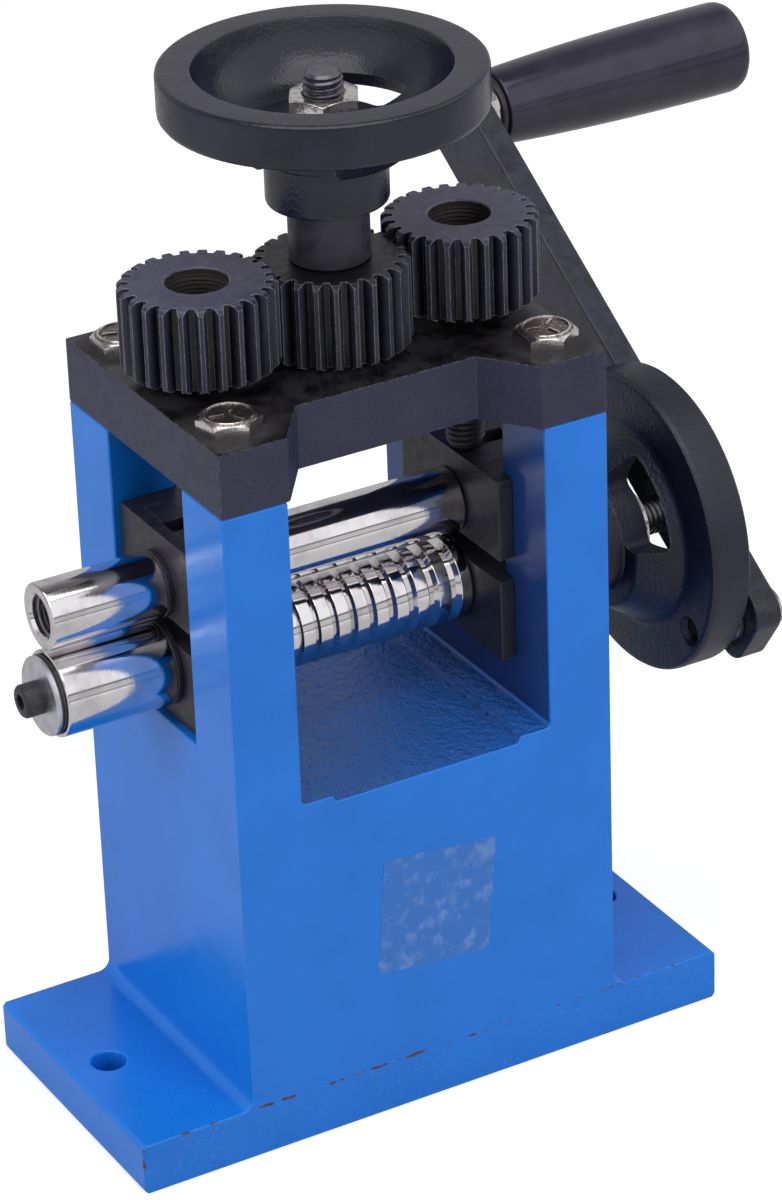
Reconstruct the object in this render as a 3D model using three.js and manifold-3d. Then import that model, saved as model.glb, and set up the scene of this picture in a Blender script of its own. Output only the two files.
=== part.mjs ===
// Jewellers rolling mill, hand cranked, in millimetres with Z up
// X runs along the front, Y from front to back, and the origin is under the middle of the foot
import * as THREE from "three";
import { mergeVertices } from "three/addons/utils/BufferGeometryUtils.js";
import Module from "manifold-3d";

const wasm = await Module();
wasm.setup();

// Clearances: shaft in bearing, fitted piece on its seat, sliding face, bolt in a plain hole
const RUN = 0.08;
const SEAT = 0.05;
const SLIDE = 0.1;
const PLAY = 0.25;

// How far a cutter runs past a face, how deep two joined shapes lap, and the usual broken edge
const PAST = 1;
const LAP = 0.5;
const EDGE = 0.4;

// Facets round a shaft or bore, round a large turned piece, and round the ends of a nut
const ROUND = 24;
const ROUND_LARGE = 36;
const ROUND_NUT = 12;

// Frame casting
const BODY_X = 53.6;
const BODY_Y = 40;
const BODY_TOP = 180;
const WALL = 17.95;
const FOOT_X = 85;
const FOOT_TOP = 14.3;
const FOOT_EDGE = 1.6;
const FILLET = 3;
const WINDOW_X = BODY_X - WALL;
const LEDGE_Z = 97;
const LEDGE_X = WINDOW_X - 8.7;
const LEDGE_DROP = 1.8;
const FOOT_HOLE_X = FOOT_X - 11;
const FOOT_HOLE_R = 4.5;

// Slots in the walls and the bearing blocks that fill them
const SLOT_Y = 19.4;
const SLOT_Z = LEDGE_Z + 13;
const BLOCK_Y = SLOT_Y - SLIDE;
const BLOCK_HEIGHT = 22;
const BLOCK_BORE_EDGE = 7.8;
const BLOCK_OUTER_X = BODY_X - 2;
const BLOCK_GAP = 6;
const FLANGE_X = WINDOW_X - 4.15;
const FLANGE_Y = SLOT_Y + 4.6;
const UPPER_BLOCK_Z = SLOT_Z + BLOCK_HEIGHT + BLOCK_GAP;
const UPPER_BLOCK_TOP = UPPER_BLOCK_Z + BLOCK_HEIGHT;

// Rolls
const LOWER_Z = SLOT_Z + BLOCK_HEIGHT - BLOCK_BORE_EDGE;
const UPPER_Z = UPPER_BLOCK_Z + BLOCK_BORE_EDGE;
const ROLL_X = FLANGE_X - 0.3;
const LOWER_ROLL_R = 11.2;
const UPPER_ROLL_R = 8.6;
const JOURNAL_R = 5.5;
const BUSH_R = 6.6;
const DRIVE_R = 4.95;
const UPPER_DRIVE_R = 3.9;
const KEY_WIDTH = 3;
const KEY_DEPTH = 1.5;
const SMALL_KEY_WIDTH = 2;
const SMALL_KEY_DEPTH = 1;
const CLIP_DEPTH = 0.6;
const CLIP_THICK = 1;
const THREAD_R = 5.25;
const THREAD_LENGTH = 18.7;
const GROOVES = 11;
const GROOVE_FIRST = 1.0;
const GROOVE_LAST = 3.2;

// Left ends of the rolls
const SPACER_X = BLOCK_OUTER_X + SLIDE;
const SPACER_THICK = 1.5;
const RING_X = SPACER_X + SPACER_THICK;
const UPPER_RING_LENGTH = 31;
const LOWER_RING_LENGTH = 30.9;
const RING_WASHER_THICK = 1.65;
const RING_SCREW_R = 2.5;
const RING_SCREW_HEAD_R = 4.3;
const RING_SCREW_HEAD = 5.2;
const RING_SCREW_LENGTH = 18;
const RING_SCREW_SOCKET = 4;
const RING_EDGE = 0.9;

// Coupling pinions outside the right wall
const PINION_X = BODY_X + 0.6;
const PINION_THICK = 5.1;
const LOWER_TEETH = 13;
const UPPER_TEETH = 10;
const LOWER_TIP_R = 14.1;
const LOWER_ROOT_R = 8.5;
const UPPER_TIP_R = 11.2;
const UPPER_ROOT_R = 5.7;
const TOOTH_TIP_HALF = 0.4;
const TOOTH_ROOT_HALF = 0.9;

// Cap plate and its bolts
const CAP_THICK = 17;
const CAP_TOP = BODY_TOP + CAP_THICK;
const RECESS_EDGE_X = BODY_X - 18.6;
const RECESS_X = RECESS_EDGE_X - 10.05;
const RECESS_Y = BODY_Y - 14.05;
const BOLT_X = BODY_X - 9.7;
const BOLT_Y = BODY_Y - 12.4;
const BOLT_R = 4;
const BOLT_FLATS = 14;
const BOLT_HEAD = 4.1;
const BOLT_DEPTH = 16;
const TAP_SPARE = 3;

// Roll adjustment: gears, screws and spindle
const SCREW_X = 36.5;
const SCREW_R = 5;
const SCREW_KEY_WIDTH = 2.5;
const SCREW_KEY_DEPTH = 1.3;
const NECK_R = 3;
const FOOT_R = 4.2;
const FOOT_HEIGHT = 2.8;
const KEEPER_THICK = 3;
const KEEPER_Y = 13;
const KEEPER_X = BLOCK_OUTER_X - 3.6;
const GEAR_TEETH = 25;
const GEAR_MODULE = SCREW_X / GEAR_TEETH;
const GEAR_BACKLASH = 0.14;
const SIDE_GEAR_Z = CAP_TOP + 4.5;
const SIDE_GEAR_THICK = 21.5;
const SIDE_GEAR_POCKET_R = 7.8;
const SIDE_GEAR_POCKET_Z = SIDE_GEAR_Z + 9.5;
const SCREW_TOP = SIDE_GEAR_Z + 6.5;
const THRUST_THICK = 1;
const CENTRE_GEAR_Z = CAP_TOP + THRUST_THICK;
const CENTRE_GEAR_THICK = 22.5;
const CENTRE_GEAR_TOP = CENTRE_GEAR_Z + CENTRE_GEAR_THICK;
const SPINDLE_R = 6;
const SPINDLE_LOW = BODY_TOP - 5;
const SPINDLE_CLIP_Z = SPINDLE_LOW + 2.2;
const SPINDLE_BUSH_R = 8;
const SLEEVE_R = 10.06;
const SLEEVE_LENGTH = 15.15;
const SLEEVE_TOP = CENTRE_GEAR_TOP + SLEEVE_LENGTH;
const STUD_R = 5;
const STUD_PROUD = 5.45;

// Wheel casting, used for the handwheel and for the crank wheel
const WHEEL_R = 40.15;
const WHEEL_CONE_R = WHEEL_R - 12.65;
const WHEEL_DISH_R = WHEEL_R - 8.65;
const WHEEL_RIM_H = 23.15;
const WHEEL_TOP_H = 34.65;
const WHEEL_HUB_R = 15.15;
const WHEEL_HUB_H = 19.4;
const WHEEL_STEP_R = 20;
const WHEEL_STEP_H = 12.4;
const WINDOW_INNER_R = 15.6;
const WINDOW_OUTER_R = 25.2;
const WINDOW_SWEEP = 66;
const WINDOW_CORNER = 2;
const NUT_FLATS = 16.3;
const THIN_NUT_HEIGHT = 5.2;
const TOP_NUT_Z = SLEEVE_TOP + WHEEL_HUB_H;
const TOP_NUT_HEIGHT = 8;
const STUD_TOP = TOP_NUT_Z + TOP_NUT_HEIGHT + STUD_PROUD;

// Crank
const WASHER_R = 8;
const WASHER_X = PINION_X + PINION_THICK;
const CRANK_HUB_X = WASHER_X + 2.15;
const CRANK_NUT_X = CRANK_HUB_X + WHEEL_HUB_H;
const CRANK_WINDOW_START = 108;
const HANDWHEEL_WINDOW_START = 5;
const ARM_X = CRANK_HUB_X + WHEEL_TOP_H;
const ARM_THICK = 7.6;
const ARM_OUT_X = ARM_X + ARM_THICK;
const ARM_HALF = 11.7;
const ARM_ANGLE = 34.5;
const ARM_REACH = 130;
const ARM_FOOT_REACH = 43;
const ARM_CORNER = 6;
const ARM_LEAN = 0.0152;
const ARM_LEVEL_REACH = 97;
const ARM_BOLT_REACH = WHEEL_R - 5.65;
const ARM_BOLT_R = 3;
const ARM_BOLT_FLATS = 10;
const ARM_BOLT_HEAD = 4.5;
const ARM_BOLT_GRIP = 7.6;
const ARM_BOLT_SEAT_X = ARM_OUT_X + armLean(-ARM_BOLT_REACH - ARM_BOLT_FLATS * 0.6);
const ARM_SPACER_R = 5.5;
const ARM_SPACER_END_X = ARM_X + armLean(ARM_SPACER_R - ARM_BOLT_REACH);
const ARM_WASHER_R = 10.5;
const ARM_WASHER_THICK = 2;
const ARM_WASHER_X = ARM_OUT_X + armLean(-ARM_WASHER_R);
const ARM_NUT_X = ARM_WASHER_X + ARM_WASHER_THICK;
const SHAFT_END_X = ARM_NUT_X + THIN_NUT_HEIGHT + 1.1;
const HANDLE_SEAT_X = ARM_OUT_X + armLean(ARM_REACH);
const HANDLE_NUT_HEIGHT = 4.8;
const HANDLE_WASHER_X = HANDLE_SEAT_X + HANDLE_NUT_HEIGHT;
const HANDLE_WASHER_R = 9.4;
const HANDLE_WASHER_THICK = 1.5;
const HANDLE_WASHER_END_X = HANDLE_WASHER_X + HANDLE_WASHER_THICK;
const GRIP_X = HANDLE_WASHER_END_X + 0.27;
const GRIP_LENGTH = 77.4;
const GRIP_SPINDLE_R = 4.5;
const GRIP_NEAR_R = 10.45;
const GRIP_FAR_R = 12.8;
const GRIP_POCKET_R = 7;
const GRIP_POCKET_X = GRIP_X + GRIP_LENGTH - 6;
const GRIP_SCREW_R = 2.5;
const GRIP_SCREW_HEAD_R = 6.4;
const GRIP_SCREW_LENGTH = 11;
const GRIP_SCREW_SLOT = 1.2;

// How far the arm has leaned out along X at the given reach, held off the wheel's rim by its spacer
function armLean(reach) {
  return ARM_LEAN * (ARM_LEVEL_REACH - reach);
}

// A point on the crank arm's centre line at the given reach from the wheel's axis
function armPoint(reach) {
  const turn = THREE.MathUtils.degToRad(ARM_ANGLE);
  return [reach * Math.cos(turn), LOWER_Z + reach * Math.sin(turn)];
}

// Closed solid from a three.js geometry
function toSolid(geometry) {
  geometry.deleteAttribute("normal");
  geometry.deleteAttribute("uv");
  const welded = mergeVertices(geometry, 1e-4);
  const index = welded.index.array;
  const kept = [];
  for (let i = 0; i < index.length; i += 3) {
    const corners = [index[i], index[i + 1], index[i + 2]];
    if (new Set(corners).size === 3) kept.push(...corners);
  }
  const shell = new wasm.Mesh({
    numProp: 3,
    vertProperties: new Float32Array(welded.attributes.position.array),
    triVerts: new Uint32Array(kept),
  });
  return new wasm.Manifold(shell);
}

// Turning that lays a shape drawn in X and Y, with its depth along Z, onto the wanted axis
function layOn(geometry, axis) {
  if (axis === "x") {
    const turn = new THREE.Matrix4();
    turn.makeBasis(new THREE.Vector3(0, 1, 0), new THREE.Vector3(0, 0, 1), new THREE.Vector3(1, 0, 0));
    geometry.applyMatrix4(turn);
  }
  if (axis === "y") geometry.rotateX(Math.PI / 2);
  return geometry;
}

// Box between two corners
function block(x0, x1, y0, y1, z0, z1) {
  const geometry = new THREE.BoxGeometry(Math.abs(x1 - x0), Math.abs(y1 - y0), Math.abs(z1 - z0));
  geometry.translate((x0 + x1) / 2, (y0 + y1) / 2, (z0 + z1) / 2);
  return toSolid(geometry);
}

// Piece turned about an axis parallel to X or Z; the profile is radius and distance along the axis
function turned(profile, axis, centre = [0, 0], segments = ROUND) {
  const points = profile.map(([radius, along]) => new THREE.Vector2(radius, along));
  const geometry = new THREE.LatheGeometry(points, segments);
  if (axis === "z") {
    geometry.rotateX(Math.PI / 2);
    geometry.translate(centre[0], centre[1], 0);
  } else {
    geometry.rotateZ(-Math.PI / 2);
    geometry.translate(0, centre[0], centre[1]);
  }
  return toSolid(geometry);
}

// Profile of a rod with an edge broken at each end
function rod(radius, from, to, edge = 0) {
  if (edge === 0) return [[0, from], [radius, from], [radius, to], [0, to]];
  const low = [[0, from], [radius - edge, from], [radius, from + edge]];
  return [...low, [radius, to - edge], [radius - edge, to], [0, to]];
}

// Profile of a plain ring, its outer edges broken if an edge is given
function ring(inner, outer, from, to, edge = 0) {
  if (edge === 0) return [[inner, from], [outer, from], [outer, to], [inner, to], [inner, from]];
  const low = [[inner, from], [outer - edge, from], [outer, from + edge]];
  return [...low, [outer, to - edge], [outer - edge, to], [inner, to], [inner, from]];
}

// Plate with a drawn outline, between two distances along its axis
function plate(outline, axis, from, to) {
  const shape = new THREE.Shape(outline.map(([a, b]) => new THREE.Vector2(a, b)));
  const depth = to - from;
  const geometry = new THREE.ExtrudeGeometry(shape, { depth, bevelEnabled: false });
  geometry.translate(0, 0, axis === "y" ? -to : from);
  return toSolid(layOn(geometry, axis));
}

// Point at a radius and an angle in degrees from a centre
function polar(centre, radius, angle) {
  const turn = THREE.MathUtils.degToRad(angle);
  return [centre[0] + radius * Math.cos(turn), centre[1] + radius * Math.sin(turn)];
}

// Points along an arc, angles in degrees
function arc(centre, radius, start, end, steps) {
  const points = [];
  const step = (end - start) / steps;
  for (let i = 0; i <= steps; i += 1) points.push(polar(centre, radius, start + step * i));
  return points;
}

// Hexagon with its corners turned down at the ends named by the flags
function hexagon(flats, axis, centre, from, to, lowEdge, highEdge) {
  const corner = flats / Math.sqrt(3);
  const outline = arc(centre, corner, 0, 300, 5);
  const drop = (corner - flats / 2) * Math.tan(Math.PI / 6) * 1.3;
  const profile = [[0, from]];
  if (lowEdge) profile.push([flats / 2 - 0.2, from]);
  profile.push([corner + SLIDE, lowEdge ? from + drop : from]);
  profile.push([corner + SLIDE, highEdge ? to - drop : to]);
  if (highEdge) profile.push([flats / 2 - 0.2, to]);
  profile.push([0, to]);
  const body = plate(outline, axis, from, to);
  return body.intersect(turned(profile, axis, centre, ROUND_NUT));
}

// Outline of the frame seen from the front, with the window open at the top
function frameOutline() {
  const right = [
    [FOOT_X - FOOT_EDGE, 0],
    [FOOT_X, FOOT_EDGE],
    [FOOT_X, FOOT_TOP - FOOT_EDGE],
    [FOOT_X - FOOT_EDGE, FOOT_TOP],
    ...arc([BODY_X + FILLET, FOOT_TOP + FILLET], FILLET, 270, 180, 4),
    [BODY_X, BODY_TOP],
    [WINDOW_X, BODY_TOP],
    [WINDOW_X, LEDGE_Z],
    [LEDGE_X, LEDGE_Z],
    [LEDGE_X - 1, LEDGE_Z - LEDGE_DROP],
  ];
  const left = right.map(([x, z]) => [-x, z]).reverse();
  return [...right, ...left];
}

// Frame casting: foot, two walls and window, with the slots, foot holes and tapped holes cut
function frameCasting() {
  let solid = plate(frameOutline(), "y", -BODY_Y, BODY_Y);
  for (const side of [-1, 1]) {
    const inner = side * (WINDOW_X - PAST);
    const outer = side * (BODY_X + PAST);
    solid = solid.subtract(block(inner, outer, -SLOT_Y, SLOT_Y, SLOT_Z, BODY_TOP + PAST));
    const hole = turned(rod(FOOT_HOLE_R, -PAST, FOOT_TOP + PAST), "z", [side * FOOT_HOLE_X, 0]);
    solid = solid.subtract(hole);
    for (const end of [-1, 1]) {
      const depth = BODY_TOP - BOLT_DEPTH - TAP_SPARE;
      const tapped = rod(BOLT_R + RUN, depth, BODY_TOP + PAST);
      solid = solid.subtract(turned(tapped, "z", [side * BOLT_X, end * BOLT_Y]));
    }
  }
  return solid;
}

// Cap plate: bolted across the walls, recessed front and back, bored for screws and spindle bush
function capPlate() {
  const quarter = [
    [RECESS_X, -RECESS_Y],
    [RECESS_EDGE_X, -BODY_Y],
    [BODY_X, -BODY_Y],
  ];
  const front = [...quarter.map(([x, y]) => [-x, y]).reverse(), ...quarter];
  const back = front.map(([x, y]) => [x, -y]).reverse();
  let solid = plate([...front, ...back], "z", BODY_TOP, CAP_TOP);
  const cut = (radius, x, y) => {
    const bore = turned(rod(radius, BODY_TOP - PAST, CAP_TOP + PAST), "z", [x, y]);
    solid = solid.subtract(bore);
  };
  cut(SPINDLE_BUSH_R + SEAT, 0, 0);
  for (const side of [-1, 1]) {
    cut(SCREW_R + RUN, side * SCREW_X, 0);
    for (const end of [-1, 1]) cut(BOLT_R + PLAY, side * BOLT_X, end * BOLT_Y);
  }
  return solid;
}

// Hex bolt that holds the cap plate, its head a little domed
function capBolt(x, y) {
  const head = hexagon(BOLT_FLATS, "z", [x, y], CAP_TOP, CAP_TOP + BOLT_HEAD, false, true);
  const shank = turned(rod(BOLT_R, BODY_TOP - BOLT_DEPTH, CAP_TOP + LAP, EDGE), "z", [x, y]);
  return head.add(shank);
}

// Bearing block: body in the wall slot, flange inside the window, bored for its bush
function bearingBlock(side, low, boreZ) {
  const high = low + BLOCK_HEIGHT;
  const flange = block(side * FLANGE_X, side * (WINDOW_X - SLIDE), -FLANGE_Y, FLANGE_Y, low, high);
  const body = block(side * (FLANGE_X + LAP), side * BLOCK_OUTER_X, -BLOCK_Y, BLOCK_Y, low, high);
  const bore = turned(rod(BUSH_R + SEAT, -BODY_X - PAST, BODY_X + PAST), "x", [0, boreZ]);
  return flange.add(body).subtract(bore);
}

// Upper block: the same part turned over, with a recess for the keeper and a pocket for the screw
function upperBlock(side) {
  const top = UPPER_BLOCK_TOP;
  const reach = KEEPER_Y + SEAT;
  const keeperX = side * (KEEPER_X + SEAT);
  const floor = top - KEEPER_THICK;
  const recess = block(side * (FLANGE_X - PAST), keeperX, -reach, reach, floor, top + PAST);
  const pocket = rod(FOOT_R + RUN, floor - FOOT_HEIGHT - 3 * SLIDE, top);
  const bored = turned(pocket, "z", [side * SCREW_X, 0]);
  return bearingBlock(side, UPPER_BLOCK_Z, UPPER_Z).subtract(recess).subtract(bored);
}

// Bronze bush of a roll journal
function rollBush(side, z) {
  const ends = [side * (FLANGE_X + SLIDE), side * (BLOCK_OUTER_X - SLIDE)].sort((a, b) => a - b);
  return turned(ring(JOURNAL_R + RUN, BUSH_R, ends[0], ends[1]), "x", [0, z]);
}

// Wire grooves of the lower roll: each a little wider than the one before, with equal lands
function grooveProfile() {
  const widths = [];
  for (let i = 0; i < GROOVES; i += 1) {
    widths.push(GROOVE_FIRST + ((GROOVE_LAST - GROOVE_FIRST) * i) / (GROOVES - 1));
  }
  const used = widths.reduce((sum, width) => sum + width, 0);
  const land = (2 * ROLL_X - used) / (GROOVES + 1);
  const points = [];
  let x = -ROLL_X + land;
  for (const width of widths) {
    points.push([LOWER_ROLL_R, x]);
    points.push([LOWER_ROLL_R - width / 2, x + width / 2]);
    points.push([LOWER_ROLL_R, x + width]);
    x += width + land;
  }
  return points;
}

// Lower roll: grooved, tapped at the left end, with the drive shaft and its threaded end at the right
function lowerRoll() {
  const left = -(RING_X + LOWER_RING_LENGTH - LAP);
  const tapEnd = left + RING_SCREW_LENGTH + TAP_SPARE;
  const profile = [
    [0, tapEnd],
    [RING_SCREW_R + RUN, tapEnd],
    [RING_SCREW_R + RUN, left],
    [JOURNAL_R - EDGE, left],
    [JOURNAL_R, left + EDGE],
    [JOURNAL_R, -ROLL_X],
    [LOWER_ROLL_R - EDGE, -ROLL_X],
    [LOWER_ROLL_R, -ROLL_X + EDGE],
    ...grooveProfile(),
    [LOWER_ROLL_R, ROLL_X - EDGE],
    [LOWER_ROLL_R - EDGE, ROLL_X],
    [JOURNAL_R, ROLL_X],
    [JOURNAL_R, PINION_X - SLIDE],
    [DRIVE_R, PINION_X - SLIDE],
    [DRIVE_R, SHAFT_END_X - EDGE],
    [DRIVE_R - EDGE, SHAFT_END_X],
    [0, SHAFT_END_X],
  ];
  const way = keyCut(PINION_X - PAST, CRANK_NUT_X, KEY_WIDTH, DRIVE_R - KEY_DEPTH, 2 * DRIVE_R, LOWER_Z);
  return turned(profile, "x", [0, LOWER_Z]).subtract(way);
}

// Box cut for a key that lies along X above the axis at the given height
function keyCut(from, to, width, low, high, axisZ) {
  return block(from, to, -width / 2, width / 2, axisZ + low, axisZ + high);
}

// Upper roll: plain, threaded at the left end, stepped down for its pinion at the right
function upperRoll() {
  const clip = WASHER_X + SLIDE;
  const clipEnd = clip + CLIP_THICK + SLIDE;
  const shaftEnd = clipEnd + 0.8;
  const end = -(RING_X + THREAD_LENGTH);
  const profile = [
    [0, end],
    [THREAD_R - EDGE, end],
    [THREAD_R, end + EDGE],
    [THREAD_R, -RING_X],
    [JOURNAL_R, -RING_X],
    [JOURNAL_R, -ROLL_X],
    [UPPER_ROLL_R - EDGE, -ROLL_X],
    [UPPER_ROLL_R, -ROLL_X + EDGE],
    [UPPER_ROLL_R, ROLL_X - EDGE],
    [UPPER_ROLL_R - EDGE, ROLL_X],
    [JOURNAL_R, ROLL_X],
    [JOURNAL_R, PINION_X - SLIDE],
    [UPPER_DRIVE_R, PINION_X - SLIDE],
    [UPPER_DRIVE_R, clip],
    [UPPER_DRIVE_R - CLIP_DEPTH, clip],
    [UPPER_DRIVE_R - CLIP_DEPTH, clipEnd],
    [UPPER_DRIVE_R, clipEnd],
    [UPPER_DRIVE_R, shaftEnd],
    [0, shaftEnd],
  ];
  const low = UPPER_DRIVE_R - SMALL_KEY_DEPTH;
  const way = keyCut(PINION_X - LAP, clip, SMALL_KEY_WIDTH, low, 2 * UPPER_DRIVE_R, UPPER_Z);
  return turned(profile, "x", [0, UPPER_Z]).subtract(way);
}

// Spacer washer between a block and the end ring
function spacerWasher(radius, z) {
  const profile = ring(JOURNAL_R + SEAT, radius, -RING_X, -SPACER_X);
  return turned(profile, "x", [0, z]);
}

// Lower end ring, with its outer edge turned off at the free end
function lowerEndRing() {
  const end = -(RING_X + LOWER_RING_LENGTH);
  const profile = [
    [JOURNAL_R + SEAT, end],
    [LOWER_ROLL_R - RING_EDGE, end],
    [LOWER_ROLL_R, end + RING_EDGE],
    [LOWER_ROLL_R, -RING_X - EDGE],
    [LOWER_ROLL_R - EDGE, -RING_X],
    [JOURNAL_R + SEAT, -RING_X],
    [JOURNAL_R + SEAT, end],
  ];
  return turned(profile, "x", [0, LOWER_Z]);
}

// Upper end ring, screwed on the shaft end with its threaded bore left open
function upperEndRing() {
  const end = -(RING_X + UPPER_RING_LENGTH);
  const bore = THREAD_R + RUN;
  const profile = [
    [bore + 2 * EDGE, end],
    [UPPER_ROLL_R - EDGE, end],
    [UPPER_ROLL_R, end + EDGE],
    [UPPER_ROLL_R, -RING_X - EDGE],
    [UPPER_ROLL_R - EDGE, -RING_X],
    [bore, -RING_X],
    [bore, end + 2 * EDGE],
    [bore + 2 * EDGE, end],
  ];
  return turned(profile, "x", [0, UPPER_Z]);
}

// Washer and socket head screw that hold the lower end ring
function ringWasher() {
  const end = -(RING_X + LOWER_RING_LENGTH);
  const profile = ring(RING_SCREW_R + PLAY, LOWER_ROLL_R - 1, end - RING_WASHER_THICK, end, PLAY);
  return turned(profile, "x", [0, LOWER_Z]);
}

function ringScrew() {
  const seat = -(RING_X + LOWER_RING_LENGTH + RING_WASHER_THICK);
  const face = seat - RING_SCREW_HEAD;
  const tip = seat + RING_SCREW_LENGTH;
  const profile = [
    [0, face],
    [RING_SCREW_HEAD_R - EDGE, face],
    [RING_SCREW_HEAD_R, face + EDGE],
    [RING_SCREW_HEAD_R, seat],
    [RING_SCREW_R, seat],
    [RING_SCREW_R, tip],
    [0, tip],
  ];
  const hex = arc([0, LOWER_Z], RING_SCREW_SOCKET / Math.sqrt(3), 0, 300, 5);
  const socket = plate(hex, "x", face - PAST, (face + seat) / 2);
  return turned(profile, "x", [0, LOWER_Z]).subtract(socket);
}

// Pinion with long straight-sided teeth, so it stays in mesh while the upper roll is raised
function pinion(teeth, tip, root, axisZ, bore, start) {
  const outline = [];
  const low = [root, TOOTH_ROOT_HALF];
  const high = [tip, TOOTH_TIP_HALF];
  for (let i = 0; i < teeth; i += 1) {
    const middle = start + (i * 2 * Math.PI) / teeth;
    for (const [[radius, half], hand] of [[low, -1], [high, -1], [high, 1], [low, 1]]) {
      const turn = middle + (hand * half) / radius;
      outline.push([radius * Math.cos(turn), axisZ + radius * Math.sin(turn)]);
    }
  }
  const blank = plate(outline, "x", PINION_X, PINION_X + PINION_THICK);
  return blank.subtract(turned(rod(bore, PINION_X - PAST, WASHER_X + PAST), "x", [0, axisZ]));
}

function lowerPinion() {
  const wheel = pinion(LOWER_TEETH, LOWER_TIP_R, LOWER_ROOT_R, LOWER_Z, DRIVE_R + SEAT, Math.PI / 2);
  const high = DRIVE_R + KEY_DEPTH;
  return wheel.subtract(keyCut(PINION_X - PAST, WASHER_X + PAST, KEY_WIDTH, 0, high, LOWER_Z));
}

function upperPinion() {
  const start = -Math.PI / 2 + Math.PI / UPPER_TEETH;
  const wheel = pinion(UPPER_TEETH, UPPER_TIP_R, UPPER_ROOT_R, UPPER_Z, UPPER_DRIVE_R + SEAT, start);
  const high = UPPER_DRIVE_R + SMALL_KEY_DEPTH;
  return wheel.subtract(keyCut(PINION_X - PAST, WASHER_X + PAST, SMALL_KEY_WIDTH, 0, high, UPPER_Z));
}

// Key lying along X, a little smaller than its ways
function keyAlongX(from, to, width, low, high, axisZ) {
  return keyCut(from, to, width - 2 * SEAT, low + SEAT, high - SEAT, axisZ);
}

// Open retaining ring in its groove, drawn across its axis
function retainingRing(axis, centre, shaft, outer, from) {
  const gap = 20;
  const outside = arc(centre, outer, gap, 360 - gap, 20);
  const inside = arc(centre, shaft - CLIP_DEPTH + SEAT, 360 - gap, gap, 20);
  return plate([...outside, ...inside], axis, from, from + CLIP_THICK);
}

// Involute gear outline with the first tooth pointing along X
function gearOutline(centre) {
  const pitch = (GEAR_MODULE * GEAR_TEETH) / 2;
  const base = pitch * Math.cos(Math.PI / 9);
  const tip = pitch + GEAR_MODULE;
  const root = pitch - 1.25 * GEAR_MODULE;
  const roll = (radius) => Math.acos(base / Math.max(base, radius));
  const involute = (radius) => Math.tan(roll(radius)) - roll(radius);
  const half = Math.PI / (2 * GEAR_TEETH) - GEAR_BACKLASH / (2 * pitch) + involute(pitch);
  const flank = [root, base, tip].map((radius) => [radius, half - involute(radius)]);
  const outline = [];
  for (let i = 0; i < GEAR_TEETH; i += 1) {
    const middle = (i * 2 * Math.PI) / GEAR_TEETH;
    const sides = [...flank.map(([r, a]) => [r, -a]), ...[...flank].reverse()];
    for (const [radius, angle] of sides) {
      const turn = middle + angle;
      outline.push([centre + radius * Math.cos(turn), radius * Math.sin(turn)]);
    }
  }
  return outline;
}

// Centre gear, keyed to the spindle
function centreGear() {
  const blank = plate(gearOutline(0), "z", CENTRE_GEAR_Z, CENTRE_GEAR_TOP);
  const ends = [CENTRE_GEAR_Z - PAST, CENTRE_GEAR_TOP + PAST];
  const bore = turned(rod(SPINDLE_R + SEAT, ...ends), "z");
  const way = block(-KEY_WIDTH / 2, KEY_WIDTH / 2, 0, SPINDLE_R + KEY_DEPTH, ...ends);
  return blank.subtract(bore).subtract(way);
}

// Side gear, keyed to a pressure screw, with a deep pocket from the top
function sideGear(side) {
  const top = SIDE_GEAR_Z + SIDE_GEAR_THICK;
  const x = side * SCREW_X;
  const blank = plate(gearOutline(x), "z", SIDE_GEAR_Z, top);
  const bore = turned(rod(SCREW_R + SEAT, SIDE_GEAR_Z - PAST, top), "z", [x, 0]);
  const pocket = turned(rod(SIDE_GEAR_POCKET_R, SIDE_GEAR_POCKET_Z, top + PAST), "z", [x, 0]);
  const half = SCREW_KEY_WIDTH / 2;
  const high = SCREW_R + SCREW_KEY_DEPTH;
  const way = block(x - half, x + half, 0, high, SIDE_GEAR_Z - PAST, SIDE_GEAR_POCKET_Z + LAP);
  return blank.subtract(bore).subtract(pocket).subtract(way);
}

// Pressure screw: foot held in the block, narrow neck in the keeper, threaded body, keyway at the top
function pressureScrew(side) {
  const x = side * SCREW_X;
  const footTop = UPPER_BLOCK_TOP - KEEPER_THICK - SLIDE;
  const foot = footTop - FOOT_HEIGHT;
  const shoulder = UPPER_BLOCK_TOP + 0.3;
  const edge = 2 * EDGE;
  const profile = [
    [0, foot],
    [FOOT_R - EDGE, foot],
    [FOOT_R, foot + EDGE],
    [FOOT_R, footTop],
    [NECK_R, footTop],
    [NECK_R, shoulder],
    [SCREW_R - edge, shoulder],
    [SCREW_R, shoulder + edge],
    [SCREW_R, SCREW_TOP - edge],
    [SCREW_R - edge, SCREW_TOP],
    [0, SCREW_TOP],
  ];
  const half = SCREW_KEY_WIDTH / 2;
  const low = SCREW_R - SCREW_KEY_DEPTH;
  const way = block(x - half, x + half, low, 2 * SCREW_R, SIDE_GEAR_Z + PAST, SCREW_TOP + PAST);
  return turned(profile, "z", [x, 0]).subtract(way);
}

// Key of a side gear, a little smaller than its ways
function screwKey(side) {
  const x = side * SCREW_X;
  const half = SCREW_KEY_WIDTH / 2 - SEAT;
  const low = SCREW_R - SCREW_KEY_DEPTH + SEAT;
  const high = SCREW_R + SCREW_KEY_DEPTH - SEAT;
  return block(x - half, x + half, low, high, SIDE_GEAR_Z + PAST + SLIDE, SCREW_TOP - PAST);
}

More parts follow.
